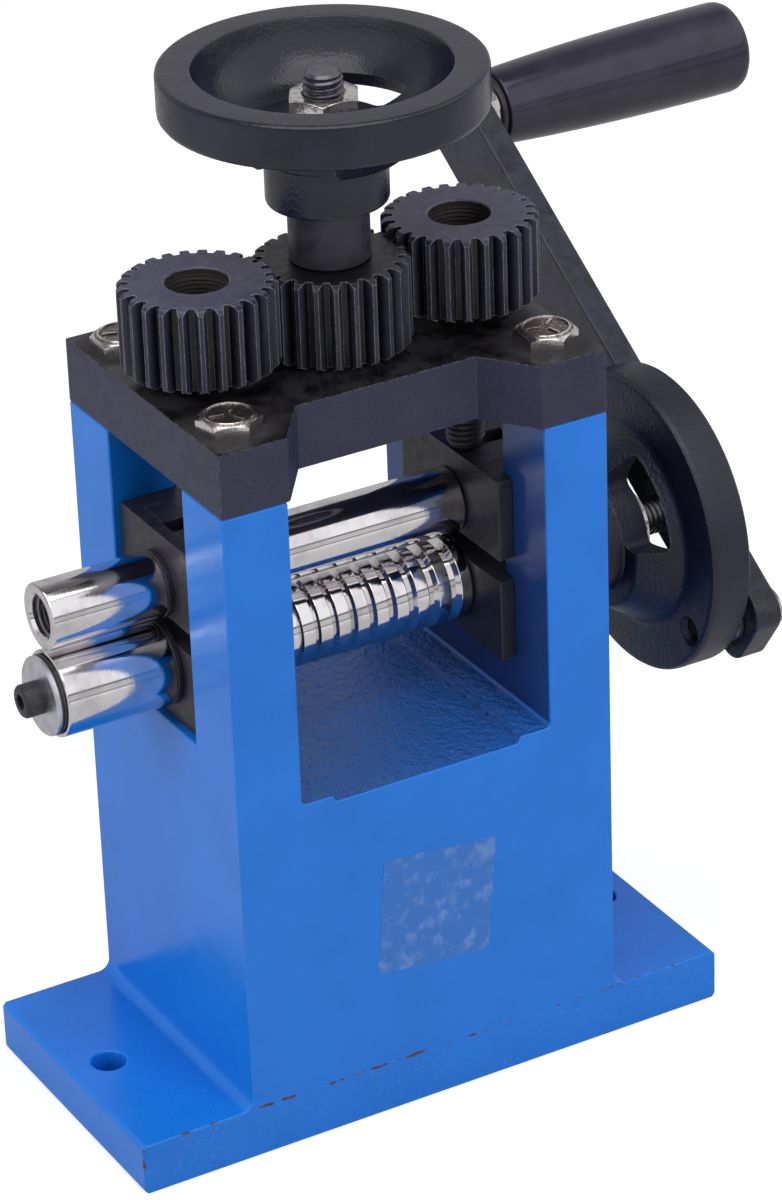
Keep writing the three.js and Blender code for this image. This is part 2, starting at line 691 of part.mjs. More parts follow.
// Keeper plate: slides in from the outer side round the neck of the screw
function screwKeeper(side) {
  const gap = NECK_R + SLIDE;
  const low = FLANGE_X + SLIDE;
  const outline = [
    [low, -KEEPER_Y],
    [KEEPER_X, -KEEPER_Y],
    [KEEPER_X, -gap],
    ...arc([SCREW_X, 0], gap / Math.cos(Math.PI / 16), 270, 90, 8),
    [KEEPER_X, gap],
    [KEEPER_X, KEEPER_Y],
    [low, KEEPER_Y],
  ];
  const drawn = outline.map(([x, y]) => [side * x, y]);
  return plate(drawn, "z", UPPER_BLOCK_TOP - KEEPER_THICK, UPPER_BLOCK_TOP);
}

// Spindle: runs in the cap bush, grooved for its retaining ring, shouldered under the handwheel
function adjustingSpindle() {
  const clipLow = SPINDLE_CLIP_Z - SLIDE;
  const clipHigh = SPINDLE_CLIP_Z + CLIP_THICK + SLIDE;
  const edge = 2 * EDGE;
  const profile = [
    [0, SPINDLE_LOW],
    [SPINDLE_R - EDGE, SPINDLE_LOW],
    [SPINDLE_R, SPINDLE_LOW + EDGE],
    [SPINDLE_R, clipLow],
    [SPINDLE_R - CLIP_DEPTH, clipLow],
    [SPINDLE_R - CLIP_DEPTH, clipHigh],
    [SPINDLE_R, clipHigh],
    [SPINDLE_R, SLEEVE_TOP],
    [STUD_R, SLEEVE_TOP],
    [STUD_R, STUD_TOP - edge],
    [STUD_R - edge, STUD_TOP],
    [0, STUD_TOP],
  ];
  const ends = [CENTRE_GEAR_Z + PAST, CENTRE_GEAR_TOP - PAST];
  const way = block(-KEY_WIDTH / 2, KEY_WIDTH / 2, SPINDLE_R - KEY_DEPTH, 2 * SPINDLE_R, ...ends);
  return turned(profile, "z").subtract(way);
}

// Window through the cone of the wheel casting, with its corners taken off
function wheelWindow(centre, start) {
  const end = start + WINDOW_SWEEP;
  const inner = WINDOW_INNER_R;
  const outer = WINDOW_OUTER_R;
  const low = THREE.MathUtils.radToDeg(WINDOW_CORNER / inner);
  const high = THREE.MathUtils.radToDeg(WINDOW_CORNER / outer);
  return [
    ...arc(centre, inner, start + low, end - low, 6),
    polar(centre, inner + WINDOW_CORNER, end),
    polar(centre, outer - WINDOW_CORNER, end),
    ...arc(centre, outer, end - high, start + high, 7),
    polar(centre, outer - WINDOW_CORNER, start),
    polar(centre, inner + WINDOW_CORNER, start),
  ];
}

// Curve of the wheel's dish, from its rim down to its hub
function dishCurve() {
  const rim = new THREE.Vector2(WHEEL_DISH_R, WHEEL_TOP_H);
  const knee = new THREE.Vector2(WHEEL_DISH_R - 3.7, WHEEL_HUB_H + 2);
  const hub = new THREE.Vector2(WHEEL_HUB_R + 2.85, WHEEL_HUB_H);
  const curve = new THREE.QuadraticBezierCurve(rim, knee, hub);
  return curve.getPoints(5).map((point) => [point.x, point.y]);
}

// Wheel casting: hub, stepped cone with two windows, flat rim, dished face
function wheelCasting(axis, centre, base, windowStart) {
  const bore = (axis === "z" ? STUD_R : DRIVE_R) + SEAT;
  const profile = [
    [bore, 0],
    [WHEEL_HUB_R - EDGE, 0],
    [WHEEL_HUB_R, EDGE],
    [WHEEL_HUB_R, WHEEL_STEP_H],
    [WHEEL_STEP_R, WHEEL_STEP_H],
    [WHEEL_CONE_R, WHEEL_RIM_H],
    [WHEEL_R - 2 * EDGE, WHEEL_RIM_H],
    [WHEEL_R, WHEEL_RIM_H + 2 * EDGE],
    [WHEEL_R, WHEEL_TOP_H - EDGE],
    [WHEEL_R - EDGE, WHEEL_TOP_H],
    ...dishCurve(),
    [bore, WHEEL_HUB_H],
    [bore, 0],
  ].map(([radius, along]) => [radius, along + base]);
  let solid = turned(profile, axis, centre, ROUND_LARGE);
  for (const start of [windowStart, windowStart + 180]) {
    const window = plate(wheelWindow(centre, start), axis, base + PAST, base + WHEEL_TOP_H);
    solid = solid.subtract(window);
  }
  return solid;
}

// Crank wheel: the casting with its hub towards the frame, a keyway and the bolt hole in its rim
function crankWheel() {
  const hole = turned(rod(ARM_BOLT_R + SEAT, CRANK_HUB_X, ARM_X + PAST), "x", armPoint(-ARM_BOLT_REACH));
  const near = CRANK_HUB_X + WHEEL_RIM_H;
  const wide = ARM_BOLT_R + 1.2;
  const deep = near + wide - ARM_BOLT_R;
  const flare = [[0, near - PAST], [wide, near - PAST], [wide, near], [ARM_BOLT_R, deep], [0, deep]];
  const sink = turned(flare, "x", armPoint(-ARM_BOLT_REACH));
  const ends = [CRANK_HUB_X - PAST, CRANK_NUT_X + PAST];
  const way = keyCut(...ends, KEY_WIDTH, 0, DRIVE_R + KEY_DEPTH, LOWER_Z);
  const casting = wheelCasting("x", [0, LOWER_Z], CRANK_HUB_X, CRANK_WINDOW_START);
  return casting.subtract(hole).subtract(sink).subtract(way);
}

// Hex nut along an axis, bored for a shaft of the given radius
function hexNut(axis, centre, from, radius, flats, height) {
  const blank = hexagon(flats, axis, centre, from, from + height, true, true);
  return blank.subtract(turned(rod(radius + SEAT, from - PAST, from + height + PAST), axis, centre));
}

// Centre of a round corner at the arm's foot, on the upper or the lower side
function armCorner(side) {
  const turn = THREE.MathUtils.degToRad(ARM_ANGLE);
  const across = side * (ARM_HALF - ARM_CORNER);
  const [y, z] = armPoint(ARM_CORNER - ARM_FOOT_REACH);
  return [y - across * Math.sin(turn), z + across * Math.cos(turn)];
}

// Matrix that leans the arm: X grows as the reach falls
function leanMatrix() {
  const turn = THREE.MathUtils.degToRad(ARM_ANGLE);
  const [alongY, alongZ] = [ARM_LEAN * Math.cos(turn), ARM_LEAN * Math.sin(turn)];
  const shift = ARM_LEAN * ARM_LEVEL_REACH + alongZ * LOWER_Z;
  return new THREE.Matrix4().set(1, -alongY, -alongZ, shift, 0, 1, 0, 0, 0, 0, 1, 0, 0, 0, 0, 1);
}

// Turns a solid about the arm's tip, so that what was built along X stands square on the arm's face
function onArmTip(solid) {
  const turn = THREE.MathUtils.degToRad(ARM_ANGLE);
  const [y, z] = armPoint(ARM_REACH);
  const hinge = new THREE.Vector3(0, -Math.sin(turn), Math.cos(turn));
  const matrix = new THREE.Matrix4().makeTranslation(HANDLE_SEAT_X, y, z);
  matrix.multiply(new THREE.Matrix4().makeRotationAxis(hinge, Math.atan(ARM_LEAN)));
  matrix.multiply(new THREE.Matrix4().makeTranslation(-HANDLE_SEAT_X, -y, -z));
  return solid.transform(matrix.elements);
}

// Crank arm: flat bar, round at the handle and squared at its foot, bored for bolt, shaft and spindle
function crankArm() {
  const tip = armPoint(ARM_REACH);
  const outline = [
    ...arc(armCorner(1), ARM_CORNER, ARM_ANGLE + 90, ARM_ANGLE + 180, 5),
    ...arc(armCorner(-1), ARM_CORNER, ARM_ANGLE + 180, ARM_ANGLE + 270, 5),
    ...arc(tip, ARM_HALF, ARM_ANGLE - 90, ARM_ANGLE + 90, 16),
  ];
  let solid = plate(outline, "x", ARM_X, ARM_OUT_X).transform(leanMatrix().elements);
  const holes = [[armPoint(-ARM_BOLT_REACH), ARM_BOLT_R], [[0, LOWER_Z], DRIVE_R]];
  for (const [centre, radius] of holes) {
    const hole = rod(radius + PLAY, ARM_X - PAST, ARM_BOLT_SEAT_X + PAST);
    solid = solid.subtract(turned(hole, "x", centre));
  }
  const tipHole = rod(STUD_R + SEAT, ARM_X - 2 * PAST, ARM_OUT_X + PAST);
  return solid.subtract(onArmTip(turned(tipHole, "x", tip)));
}

// Bolt through the arm and its spacer into the rim hole
function armBolt() {
  const seat = ARM_BOLT_SEAT_X;
  const centre = armPoint(-ARM_BOLT_REACH);
  const head = hexagon(ARM_BOLT_FLATS, "x", centre, seat, seat + ARM_BOLT_HEAD, false, true);
  const shank = turned(rod(ARM_BOLT_R, ARM_X - ARM_BOLT_GRIP, seat + LAP, EDGE), "x", centre);
  return head.add(shank);
}

// Handle spindle: screwed in the arm and locked by its nut, turned down for the grip, tapped at the end
function handleSpindle() {
  const start = ARM_X + PLAY;
  const end = GRIP_POCKET_X;
  const tapEnd = end - GRIP_SCREW_LENGTH - TAP_SPARE;
  const profile = [
    [0, start],
    [STUD_R - EDGE, start],
    [STUD_R, start + EDGE],
    [STUD_R, HANDLE_WASHER_END_X],
    [GRIP_SPINDLE_R, HANDLE_WASHER_END_X],
    [GRIP_SPINDLE_R, end],
    [GRIP_SCREW_R + SEAT, end],
    [GRIP_SCREW_R + SEAT, tapEnd],
    [0, tapEnd],
  ];
  return onArmTip(turned(profile, "x", armPoint(ARM_REACH)));
}

// Grip: tapered, turning on its spindle, with a pocket for the screw that keeps it on
function handleGrip() {
  const bore = GRIP_SPINDLE_R + RUN;
  const end = GRIP_X + GRIP_LENGTH;
  const low = new THREE.Vector2(GRIP_NEAR_R, GRIP_X + EDGE);
  const middle = new THREE.Vector2(GRIP_FAR_R, GRIP_X + 0.4 * GRIP_LENGTH);
  const swell = new THREE.Vector2(GRIP_FAR_R, end - 4);
  const side = new THREE.QuadraticBezierCurve(low, middle, swell).getPoints(6).slice(0, -1);
  const corner = new THREE.Vector2(GRIP_FAR_R, end);
  const flat = new THREE.Vector2(GRIP_FAR_R - 2.75, end);
  const farEdge = new THREE.QuadraticBezierCurve(swell, corner, flat).getPoints(4);
  const profile = [
    [bore, GRIP_X],
    [GRIP_NEAR_R - EDGE, GRIP_X],
    ...side.map((point) => [point.x, point.y]),
    ...farEdge.map((point) => [point.x, point.y]),
    [GRIP_POCKET_R, end],
    [GRIP_POCKET_R, GRIP_POCKET_X],
    [bore, GRIP_POCKET_X],
    [bore, GRIP_X],
  ];
  return onArmTip(turned(profile, "x", armPoint(ARM_REACH)));
}

// Round headed screw in the grip's far end
function gripScrew() {
  const seat = GRIP_POCKET_X + SLIDE;
  const tip = seat - GRIP_SCREW_LENGTH;
  const brim = seat + 1.6;
  const top = seat + 3;
  const head = GRIP_SCREW_HEAD_R;
  const profile = [
    [0, tip],
    [GRIP_SCREW_R, tip],
    [GRIP_SCREW_R, seat],
    [head, seat],
    [head, brim],
    [head - 2.4, top],
    [0, top],
  ];
  const [y, z] = armPoint(ARM_REACH);
  const half = GRIP_SCREW_SLOT / 2;
  const slot = block(brim, top + PAST, y - half, y + half, z - 2 * head, z + 2 * head);
  return onArmTip(turned(profile, "x", [y, z]).subtract(slot));
}

// Finishes: colour, roughness and metalness of each material slot
const FINISH = {
  blue_paint: ["#2d66c4", 0.55, 0.1],
  cast_black: ["#26262e", 0.7, 0.4],
  machined_black: ["#2c2c34", 0.5, 0.6],
  polished_steel: ["#b9bcc2", 0.22, 1.0],
  dark_steel: ["#6f7178", 0.38, 1.0],
  nickel: ["#c9c6bd", 0.25, 1.0],
  zinc: ["#b4b6ba", 0.42, 0.9],
  bronze: ["#a97c45", 0.4, 1.0],
  black_grip: ["#121214", 0.3, 0.0],
};

const group = new THREE.Group();
group.name = "rolling_mill";

// Put a solid in the group as a named mesh with its own material
function put(name, finish, solid) {
  const shell = solid.getMesh();
  const geometry = new THREE.BufferGeometry();
  geometry.setAttribute("position", new THREE.BufferAttribute(new Float32Array(shell.vertProperties), 3));
  geometry.setIndex(new THREE.BufferAttribute(new Uint32Array(shell.triVerts), 1));
  geometry.computeVertexNormals();
  const [color, roughness, metalness] = FINISH[finish];
  const material = new THREE.MeshStandardMaterial({ color, roughness, metalness });
  material.name = finish;
  const mesh = new THREE.Mesh(geometry, material);
  mesh.name = name;
  group.add(mesh);
}

// Frame, cap plate and bolts
put("frame_casting", "blue_paint", frameCasting());
put("cap_plate", "cast_black", capPlate());
for (const [side, sideName] of [[-1, "left"], [1, "right"]]) {
  for (const [end, endName] of [[-1, "front"], [1, "back"]]) {
    put(`cap_bolt_${endName}_${sideName}`, "nickel", capBolt(side * BOLT_X, end * BOLT_Y));
  }
}

// Bearings and screws of each side
for (const [side, sideName] of [[-1, "left"], [1, "right"]]) {
  put(`lower_block_${sideName}`, "machined_black", bearingBlock(side, SLOT_Z, LOWER_Z));
  put(`upper_block_${sideName}`, "machined_black", upperBlock(side));
  put(`lower_bush_${sideName}`, "bronze", rollBush(side, LOWER_Z));
  put(`upper_bush_${sideName}`, "bronze", rollBush(side, UPPER_Z));
  put(`screw_keeper_${sideName}`, "machined_black", screwKeeper(side));
  put(`pressure_screw_${sideName}`, "dark_steel", pressureScrew(side));
  put(`side_gear_${sideName}`, "cast_black", sideGear(side));
  put(`gear_key_${sideName}`, "dark_steel", screwKey(side));
}

// Rolls with the pieces fixed on them
put("lower_roll", "polished_steel", lowerRoll());
put("upper_roll", "polished_steel", upperRoll());
put("lower_spacer_washer", "cast_black", spacerWasher(LOWER_ROLL_R, LOWER_Z));
put("upper_spacer_washer", "cast_black", spacerWasher(UPPER_ROLL_R, UPPER_Z));
put("lower_end_ring", "polished_steel", lowerEndRing());
put("upper_end_ring", "polished_steel", upperEndRing());
put("ring_washer", "zinc", ringWasher());
put("ring_screw", "machined_black", ringScrew());
put("lower_pinion", "dark_steel", lowerPinion());
put("upper_pinion", "dark_steel", upperPinion());
const pinionKeyEnds = [PINION_X + SLIDE, WASHER_X - SLIDE];
const driveKey = [KEY_WIDTH, DRIVE_R - KEY_DEPTH, DRIVE_R + KEY_DEPTH, LOWER_Z];
const smallKeyReach = [UPPER_DRIVE_R - SMALL_KEY_DEPTH, UPPER_DRIVE_R + SMALL_KEY_DEPTH];
put("lower_pinion_key", "dark_steel", keyAlongX(...pinionKeyEnds, ...driveKey));
const upperKey = keyAlongX(...pinionKeyEnds, SMALL_KEY_WIDTH, ...smallKeyReach, UPPER_Z);
put("upper_pinion_key", "dark_steel", upperKey);
const upperClip = [[0, UPPER_Z], UPPER_DRIVE_R, UPPER_ROOT_R, WASHER_X + 1.5 * SLIDE];
put("upper_circlip", "dark_steel", retainingRing("x", ...upperClip));

// Crank wheel, arm and handle
const crankAxis = [0, LOWER_Z];
const spacerRing = ring(DRIVE_R + SEAT, WASHER_R, WASHER_X, CRANK_HUB_X);
put("wheel_spacer", "dark_steel", turned(spacerRing, "x", crankAxis));
put("crank_wheel", "cast_black", crankWheel());
put("crank_wheel_key", "dark_steel", keyAlongX(CRANK_HUB_X + LAP, CRANK_NUT_X - LAP, ...driveKey));
put("crank_wheel_nut", "nickel", hexNut("x", crankAxis, CRANK_NUT_X, DRIVE_R, NUT_FLATS, THIN_NUT_HEIGHT));
put("crank_arm", "machined_black", crankArm());
const armWasher = ring(DRIVE_R + PLAY, ARM_WASHER_R, ARM_WASHER_X, ARM_NUT_X);
put("arm_washer", "zinc", turned(armWasher, "x", crankAxis));
put("arm_nut", "nickel", hexNut("x", crankAxis, ARM_NUT_X, DRIVE_R, NUT_FLATS, THIN_NUT_HEIGHT));
const boltAxis = armPoint(-ARM_BOLT_REACH);
const spacer = ring(ARM_BOLT_R + PLAY, ARM_SPACER_R, ARM_X, ARM_SPACER_END_X);
put("arm_spacer", "dark_steel", turned(spacer, "x", boltAxis));
put("arm_bolt", "nickel", armBolt());
const gripAxis = armPoint(ARM_REACH);
put("handle_spindle", "dark_steel", handleSpindle());
const gripNut = hexNut("x", gripAxis, HANDLE_SEAT_X, STUD_R, NUT_FLATS, HANDLE_NUT_HEIGHT);
put("handle_nut", "nickel", onArmTip(gripNut));
const washerRing = ring(STUD_R + SEAT, HANDLE_WASHER_R, HANDLE_WASHER_X, HANDLE_WASHER_END_X);
put("handle_washer", "dark_steel", onArmTip(turned(washerRing, "x", gripAxis)));
put("handle_grip", "black_grip", handleGrip());
put("grip_screw", "zinc", gripScrew());

// Adjusting spindle with its gear and handwheel
put("spindle", "dark_steel", adjustingSpindle());
put("spindle_bush", "bronze", turned(ring(SPINDLE_R + RUN, SPINDLE_BUSH_R, BODY_TOP, CAP_TOP), "z"));
put("spindle_circlip", "dark_steel", retainingRing("z", [0, 0], SPINDLE_R, SPINDLE_BUSH_R, SPINDLE_CLIP_Z));
const underRing = ring(SPINDLE_R + SEAT, 10, SPINDLE_CLIP_Z + CLIP_THICK + SLIDE, BODY_TOP - SLIDE);
put("spindle_washer", "zinc", turned(underRing, "z"));
put("thrust_washer", "zinc", turned(ring(SPINDLE_R + SEAT, 9, CAP_TOP + SEAT, CENTRE_GEAR_Z), "z"));
put("centre_gear", "cast_black", centreGear());
const gearKeyHalf = KEY_WIDTH / 2 - SEAT;
const gearKeyReach = [SPINDLE_R - KEY_DEPTH + SEAT, SPINDLE_R + KEY_DEPTH - SEAT];
const gearKeyEnds = [CENTRE_GEAR_Z + PAST + SLIDE, CENTRE_GEAR_TOP - PAST - SLIDE];
put("centre_gear_key", "dark_steel", block(-gearKeyHalf, gearKeyHalf, ...gearKeyReach, ...gearKeyEnds));
const sleeveRing = ring(SPINDLE_R + SEAT, SLEEVE_R, CENTRE_GEAR_TOP, SLEEVE_TOP, EDGE);
put("spacer_sleeve", "dark_steel", turned(sleeveRing, "z"));
put("handwheel", "cast_black", wheelCasting("z", [0, 0], SLEEVE_TOP, HANDWHEEL_WINDOW_START));
put("handwheel_nut", "nickel", hexNut("z", [0, 0], TOP_NUT_Z, STUD_R, NUT_FLATS, TOP_NUT_HEIGHT));

export default group;
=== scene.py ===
# Jewellers rolling mill: the looks of every piece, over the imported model
import math
import bmesh
import bpy
from mathutils import Matrix, Vector


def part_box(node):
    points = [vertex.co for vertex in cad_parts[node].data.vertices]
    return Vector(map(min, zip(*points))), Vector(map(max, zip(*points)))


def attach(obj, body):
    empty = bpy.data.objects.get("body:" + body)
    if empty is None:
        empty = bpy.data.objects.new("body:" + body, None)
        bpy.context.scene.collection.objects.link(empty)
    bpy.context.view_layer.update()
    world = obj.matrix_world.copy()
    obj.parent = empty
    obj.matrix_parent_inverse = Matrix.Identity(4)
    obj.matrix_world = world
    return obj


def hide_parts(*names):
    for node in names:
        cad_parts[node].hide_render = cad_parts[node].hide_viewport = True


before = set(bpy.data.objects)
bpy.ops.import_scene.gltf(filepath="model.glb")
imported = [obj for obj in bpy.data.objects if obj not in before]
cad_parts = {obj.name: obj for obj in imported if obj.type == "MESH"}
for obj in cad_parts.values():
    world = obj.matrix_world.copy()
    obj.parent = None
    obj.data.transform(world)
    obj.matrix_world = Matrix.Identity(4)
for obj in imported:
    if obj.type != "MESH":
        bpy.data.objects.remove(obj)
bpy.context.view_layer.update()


# Frame casting
# Grey iron cast in one piece, milled on its faces and slots, then sprayed with thick blue paint.
# It bolts to the bench by its two wings, and carries every other piece in its two walls.

MM = 0.001


def corners(node):
    """Lowest and highest corner of a node, in millimetres."""
    low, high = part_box(node)
    return [v / MM for v in low], [v / MM for v in high]


def node_centre(node):
    """Middle of a node's box, in millimetres."""
    return [(a + b) / 2 for a, b in zip(*corners(node))]


def new_piece(name, build):
    """Object from a bmesh in millimetres."""
    bmesh.ops.recalc_face_normals(build, faces=build.faces)
    mesh = bpy.data.meshes.new(name)
    build.to_mesh(mesh)
    build.free()
    mesh.transform(Matrix.Scale(MM, 4))
    piece = bpy.data.objects.new(name, mesh)
    bpy.context.scene.collection.objects.link(piece)
    return piece


def plate(name, outline, axis, low, high, far_outline=None):
    """Solid drawn as an outline, from low to high along its axis, where it may take a second outline."""
    order = {"x": (2, 0, 1), "y": (0, 2, 1), "z": (0, 1, 2)}[axis]
    build = bmesh.new()
    near = [build.verts.new([(a, b, low)[k] for k in order]) for a, b in outline]
    far = [build.verts.new([(a, b, high)[k] for k in order]) for a, b in far_outline or outline]
    build.faces.new(near)
    build.faces.new(far)
    count = len(outline)
    for i in range(count):
        build.faces.new((near[i], near[(i + 1) % count], far[(i + 1) % count], far[i]))
    return new_piece(name, build)


def polar(centre, radius, angle):
    """Point at a radius and an angle in degrees."""
    turn = math.radians(angle)
    return (centre[0] + radius * math.cos(turn), centre[1] + radius * math.sin(turn))


def arc(centre, radius, start, end, steps):
    """Points along an arc."""
    return [polar(centre, radius, start + (end - start) * i / steps) for i in range(steps + 1)]


def block(name, low, high):
    """Box between two corners."""
    outline = [(low[0], low[1]), (high[0], low[1]), (high[0], high[1]), (low[0], high[1])]
    return plate(name, outline, "z", low[2], high[2])


def turned(name, profile, axis, centre=(0, 0), steps=96):
    """Piece turned about an axis parallel to X or Z; the profile is (radius, distance along the axis)."""
    build = bmesh.new()
    rings = []
    for radius, along in profile:
        count = steps if radius > 0 else 1
        ring = []
        for i in range(count):
            a, b = polar(centre, radius, 360 * i / steps)
            ring.append(build.verts.new((along, a, b) if axis == "x" else (a, b, along)))
        rings.append(ring)
    following = rings[1:] + rings[:1] if profile[0][0] > 0 else rings[1:]
    for one, two in zip(rings, following):
        for i in range(steps):
            j = (i + 1) % steps
            if len(one) == 1:
                build.faces.new((one[0], two[j], two[i]))
            elif len(two) == 1:
                build.faces.new((one[i], one[j], two[0]))
            else:
                build.faces.new((one[i], one[j], two[j], two[i]))
    return new_piece(name, build)


def rod(name, axis, centre, radius, low, high, steps=48):
    """Plain round bar, or the cutter of a plain round hole."""
    return turned(name, [(0, low), (radius, low), (radius, high), (0, high)], axis, centre, steps)


def curve(one, two, three, steps):
    """Points along a curve that leaves the first point towards the second and ends at the third."""
    points = []
    for i in range(steps + 1):
        t = i / steps
        parts = ((1 - t) ** 2, 2 * t * (1 - t), t * t)
        points.append(tuple(sum(k * p[n] for k, p in zip(parts, (one, two, three))) for n in (0, 1)))
    return points


def settle(piece):
    """Applies a piece's modifiers to its mesh."""
    graph = bpy.context.evaluated_depsgraph_get()
    mesh = bpy.data.meshes.new_from_object(piece.evaluated_get(graph))
    piece.modifiers.clear()
    piece.data = mesh
    return piece


def combine(piece, other, operation="DIFFERENCE"):
    """Cuts, joins or keeps the common part of two pieces, and drops the second one."""
    change = piece.modifiers.new("combine", "BOOLEAN")
    change.operation = operation
    change.solver = "EXACT"
    change.object = other
    settle(piece)
    bpy.data.objects.remove(other)
    return piece


def rounded(piece, width, segments=2, angle=40):
    """Breaks the edges sharper than the angle."""
    bevel = piece.modifiers.new("edges", "BEVEL")
    bevel.width = width * MM
    bevel.segments = segments
    bevel.limit_method = "ANGLE"
    bevel.angle_limit = math.radians(angle)
    bevel.use_clamp_overlap = True
    return settle(piece)


def finish_piece(piece, material, body, nodes=(), angle=32):
    """Gives a piece its material, its smooth shading, its body and the nodes it stands for."""
    piece.data.materials.clear()
    piece.data.materials.append(material)
    piece.data.shade_smooth()
    piece.data.set_sharp_from_angle(angle=math.radians(angle))
    flats = piece.modifiers.new("flats", "WEIGHTED_NORMAL")
    flats.keep_sharp = True
    settle(piece)
    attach(piece, body)
    if nodes:
        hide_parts(*nodes)
    return piece


class Finish:
    """A material under construction, with short calls for the nodes used here."""

    def __init__(self, name):
        self.material = bpy.data.materials.new(name)
        self.material.use_nodes = True
        self.nodes = self.material.node_tree.nodes
        self.links = self.material.node_tree.links
        self.shader = self.nodes["Principled BSDF"]
        self.place = self.nodes.new("ShaderNodeTexCoord").outputs["Object"]

    def feed(self, socket, value):
        """Links an input to another node's output, or gives it a value."""
        if isinstance(value, bpy.types.NodeSocket):
            self.links.new(value, socket)
        else:
            socket.default_value = value

    def use(self, **values):
        """Feeds the shader's inputs by name."""
        for name, value in values.items():
            self.feed(self.shader.inputs[name.replace("_", " ")], value)

    def noise(self, size, detail=3, stretch=(1, 1, 1), rough=0.55):
        """Noise with features of about the given size in millimetres."""
        mapping = self.nodes.new("ShaderNodeMapping")
        mapping.inputs["Scale"].default_value = [s / (size * MM) for s in stretch]
        self.links.new(self.place, mapping.inputs["Vector"])
        noise = self.nodes.new("ShaderNodeTexNoise")
        noise.inputs["Scale"].default_value = 1
        noise.inputs["Detail"].default_value = detail
        noise.inputs["Roughness"].default_value = rough
        self.links.new(mapping.outputs["Vector"], noise.inputs["Vector"])
        return noise.outputs["Fac"]

    def span(self, value, low, high, to_low=0.0, to_high=1.0):
        """Value taken from one range to another, and held inside it."""
        change = self.nodes.new("ShaderNodeMapRange")
        numbers = {"From Min": low, "From Max": high, "To Min": to_low, "To Max": to_high}
        for name, number in numbers.items():
            change.inputs[name].default_value = number
        self.links.new(value, change.inputs["Value"])
        return change.outputs["Result"]

    def patches(self, size, detail=3, low=0.3, high=0.7, to=(0.0, 1.0), rough=0.55):
        """Noise of about the given size in millimetres, taken from one range to another."""
        return self.span(self.noise(size, detail, rough=rough), low, high, *to)

    def maths(self, operation, one, two=0):
        """Result of an operation on two values, each a socket or a number."""
        step = self.nodes.new("ShaderNodeMath")
        step.operation = operation
        self.feed(step.inputs[0], one)
        self.feed(step.inputs[1], two)
        return step.outputs[0]

    def times(self, one, two):
        return self.maths("MULTIPLY", one, two)

    def plus(self, one, two):
        return self.maths("ADD", one, two)

    def above(self, value, limit):
        """1 where the value is over a limit in millimetres."""
        return self.maths("GREATER_THAN", value, limit * MM)

    def below(self, value, limit):
        """1 where the value is under a limit in millimetres."""
        return self.maths("LESS_THAN", value, limit * MM)

    def edges(self, width):
        """How sharply the surface turns within a distance in millimetres: 0 on a flat, 1 on an edge."""
        soft = self.nodes.new("ShaderNodeBevel")
        soft.samples = 5
        soft.inputs["Radius"].default_value = width * MM
        product = self.nodes.new("ShaderNodeVectorMath")
        product.operation = "DOT_PRODUCT"
        self.links.new(soft.outputs["Normal"], product.inputs[0])
        self.links.new(self.nodes.new("ShaderNodeNewGeometry").outputs["Normal"], product.inputs[1])
        return self.span(product.outputs["Value"], 0.985, 0.82)

    def axes(self):
        """X, Y and Z of the point, in metres."""
        split = self.nodes.new("ShaderNodeSeparateXYZ")
        self.links.new(self.place, split.inputs[0])
        return split.outputs

    def mix(self, amount, one, two):
        """Colour between two, each a socket or three numbers."""
        blend = self.nodes.new("ShaderNodeMix")
        blend.data_type = "RGBA"
        self.links.new(amount, blend.inputs["Factor"])
        for socket, colour in ((blend.inputs[6], one), (blend.inputs[7], two)):
            self.feed(socket, (*colour, 1) if isinstance(colour, tuple) else colour)
        return blend.outputs[2]

    def bump(self, height, depth, under=None):
        """Surface relief of the given depth in millimetres."""
        node = self.nodes.new("ShaderNodeBump")
        node.inputs["Distance"].default_value = depth * MM
        self.links.new(height, node.inputs["Height"])
        if under is not None:
            self.links.new(under, node.inputs["Normal"])
        return node.outputs["Normal"]


foot_x, body_y, body_top = corners("frame_casting")[1]
cap_low, cap_high = corners("cap_plate")
body_x = cap_high[0]
foot_top = 14.3
window_x = 35.65
ledge_z = 97.0
ledge_x = 26.95
ledge_drop = 1.8
slot_y = 19.4
slot_z = corners("lower_block_left")[0][2]
foot_hole_x = 74.0
foot_hole_radius = 4.5


